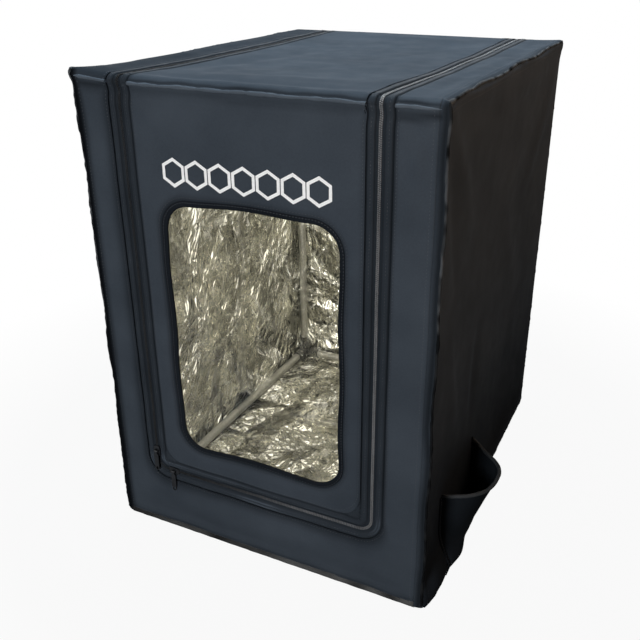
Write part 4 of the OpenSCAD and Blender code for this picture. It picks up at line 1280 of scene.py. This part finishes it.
# Pieces at the door's hinge, which ride on no body, with their placing baked into their meshes
for name in ("zip_tape_fold", "zip_teeth_fold", "fold_cloth", "fold_piping"):
    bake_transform(bpy.data.objects[name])

# Plain printed row of six-sided outlines
PRINT_COUNT, PRINT_PITCH, PRINT_Z, PRINT_LIFT = 7, 0.0365, 0.6225, 0.00012
PRINT_INNER, PRINT_OUTER, EDGE_POINTS = 0.0153, 0.0203, 6
SIX = np.radians(np.arange(0, 360, 60) + 30)
parts = []
for i in range(PRINT_COUNT):
    middle = [(i - PRINT_COUNT // 2) * PRINT_PITCH, PRINT_Z]
    rings = []
    for r in (PRINT_INNER, PRINT_OUTER):
        c = middle + r * np.stack([np.cos(SIX), np.sin(SIX)], -1)
        rings.append(on_front(even(np.vstack([c, c[:1]]), 6 * EDGE_POINTS + 1)[:-1], -PRINT_LIFT))
    p = np.vstack(rings)
    parts.append((p, outward(p, grid_faces(2, 6 * EDGE_POINTS, closed=True))))
p, f = stack(parts)
v, faces = thicken(slack(p), f, 0.0002)
piece("door_print", v, faces, PRINT_M, "front_door", smooth_faces=False)

# Frame, connectors and sliders keep their CAD solids
for name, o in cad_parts.items():
    mat = None
    if name.startswith(("upright_", "base_rail_", "top_rail_")):
        mat = TUBE_M
    elif name.startswith("corner_"):
        mat = JOINT_M
    elif name.endswith(("_slider", "_pull")):
        mat = SLIDER_M
        b = o.modifiers.new("edge", "BEVEL")
        b.width, b.segments, b.limit_method = 0.00022, 2, "ANGLE"
    if mat:
        o.data.materials.clear()
        o.data.materials.append(mat)

# Studio
def seen(t, mirrored):
    """1 for rays that show the white background, direct or through a clear sheet, less for mirrored rays."""
    path = t.nodes.new("ShaderNodeLightPath")
    shiny = math_node(t, "MULTIPLY", path.outputs["Is Glossy Ray"], mirrored)
    clear = math_node(t, "MAXIMUM", path.outputs["Is Transmission Ray"], shiny)
    return math_node(t, "MAXIMUM", path.outputs["Is Camera Ray"], clear)


world = bpy.data.worlds.new("studio")
bpy.context.scene.world = world
world.use_nodes = True
t = world.node_tree
bg = t.nodes["Background"]
see = t.nodes.new("ShaderNodeBackground")
see.inputs["Color"].default_value = (1, 1, 1, 1)
see.inputs["Strength"].default_value = 1.0
bg.inputs["Color"].default_value = (0.95, 0.97, 1.0, 1)
bg.inputs["Strength"].default_value = 0.010
mixer = t.nodes.new("ShaderNodeMixShader")
way = node(t, "ShaderNodeSeparateXYZ")
t.links.new(t.nodes.new("ShaderNodeTexCoord").outputs["Generated"], way.inputs[0])
up = math_node(t, "MULTIPLY_ADD", way.outputs["Z"], 0.9, 0.5)
share = math_node(t, "MULTIPLY_ADD", way.outputs["X"], -0.9, up)
share.node.use_clamp = True
t.links.new(seen(t, share), mixer.inputs[0])
t.links.new(bg.outputs[0], mixer.inputs[1])
t.links.new(see.outputs[0], mixer.inputs[2])
t.links.new(mixer.outputs[0], t.nodes["World Output"].inputs["Surface"])

m, t, b = material("floor")
place = node(t, "ShaderNodeTexCoord").outputs["Object"]
t.links.new(ramp(t, noise_tex(t, place, 3, 2), (0.3, 0.11), (0.7, 0.13)), b.inputs["Base Color"])
b.inputs["Roughness"].default_value = 0.9
b.inputs["Specular IOR Level"].default_value = 0.1
glow = node(t, "ShaderNodeEmission", Strength=1.0)
glow.inputs["Color"].default_value = (1, 1, 1, 1)
mixer = t.nodes.new("ShaderNodeMixShader")
spot = node(t, "ShaderNodeTexGradient", gradient_type="SPHERICAL")
scale = node(t, "ShaderNodeMapping")
scale.inputs["Scale"].default_value = (0.9, 0.9, 0.9)
t.links.new(place, scale.inputs["Vector"])
t.links.new(scale.outputs[0], spot.inputs["Vector"])
fade = ramp(t, spot.outputs["Fac"], (0.05, 1.0), (0.45, 0.94))
t.links.new(math_node(t, "MULTIPLY", seen(t, 0.12), fade), mixer.inputs[0])
t.links.new(b.outputs[0], mixer.inputs[1])
t.links.new(glow.outputs[0], mixer.inputs[2])
t.links.new(mixer.outputs[0], t.nodes["Material Output"].inputs["Surface"])
bpy.ops.mesh.primitive_plane_add(size=12, location=(0, 0, -0.0002))
floor = bpy.context.object
floor.name = "studio_floor"
floor.data.materials.append(m)
floor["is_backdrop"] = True


def lamp(name, at, to, size, power, colour=(1, 1, 1), tall=None):
    l = bpy.data.lights.new(name, "AREA")
    l.shape = "RECTANGLE"
    l.size, l.size_y = size, tall or size
    l.energy, l.color = power, colour
    o = bpy.data.objects.new(name, l)
    bpy.context.scene.collection.objects.link(o)
    o.location = at
    o.visible_camera = False
    o.rotation_euler = (Vector(to) - Vector(at)).to_track_quat("-Z", "Y").to_euler()
    o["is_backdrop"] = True
    return o


lamp("key", (0.0, -3.0, 1.10), (0, 0, 0.35), 0.5, 57, (1.0, 0.995, 0.985))
lamp("top", (-0.35, 0.55, 2.6), (-0.05, 0.1, 0.745), 0.9, 60, (0.76, 0.91, 1.0))
lamp("behind", (-0.6, 3.0, 2.0), (0, 0, 0.75), 3.4, 6, (0.84, 0.94, 1.0), 1.6)
lamp("right", (0.80, 0.0, 0.80), (0.27, 0.0, 0.72), 1.6, 2.4, (1.0, 0.66, 0.42), 0.1)
lamp("inside", (0.0, -0.30, 0.42), (0, 0.3, 0.36), 0.44, 1.5, (1.0, 0.97, 0.90), 0.56)
lamp("inside_top", (0.0, 0.0, 0.70), (0, 0, 0), 0.40, 1.1, (1.0, 0.97, 0.90), 0.52)

scene = bpy.context.scene
scene.view_settings.view_transform = "Standard"
scene.view_settings.look = "None"

# Camera at the photograph's view, from a fit to the cover's corners: pixels, millimetres, degrees and metres
PHOTO_PX, FOCAL_PX, SENSOR_MM = 640, 792.2, 36
SHIFT_X, SHIFT_Y = -0.0140, -0.0219
AZIMUTH, ELEVATION, ROLL = math.radians(25.70), math.radians(24.535), math.radians(-0.174)
EYE = (0.5319, -1.1807, 0.9012)
cam = bpy.data.cameras.new("camera")
cam.sensor_width = SENSOR_MM
cam.lens = FOCAL_PX / PHOTO_PX * SENSOR_MM
cam.shift_x, cam.shift_y = SHIFT_X, SHIFT_Y
cam.clip_start, cam.clip_end = 0.05, 50
eye = bpy.data.objects.new("camera", cam)
scene.collection.objects.link(eye)
level = math.cos(ELEVATION)
back = Vector((math.sin(AZIMUTH) * level, -math.cos(AZIMUTH) * level, math.sin(ELEVATION)))
right = Vector((0, 0, 1)).cross(back).normalized()
up = back.cross(right)
rolled_right = right * math.cos(ROLL) + up * math.sin(ROLL)
rolled_up = up * math.cos(ROLL) - right * math.sin(ROLL)
turn = Matrix((rolled_right, rolled_up, back)).transposed().to_4x4()
eye.matrix_world = Matrix.Translation(EYE) @ turn
scene.camera = eye

low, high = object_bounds()
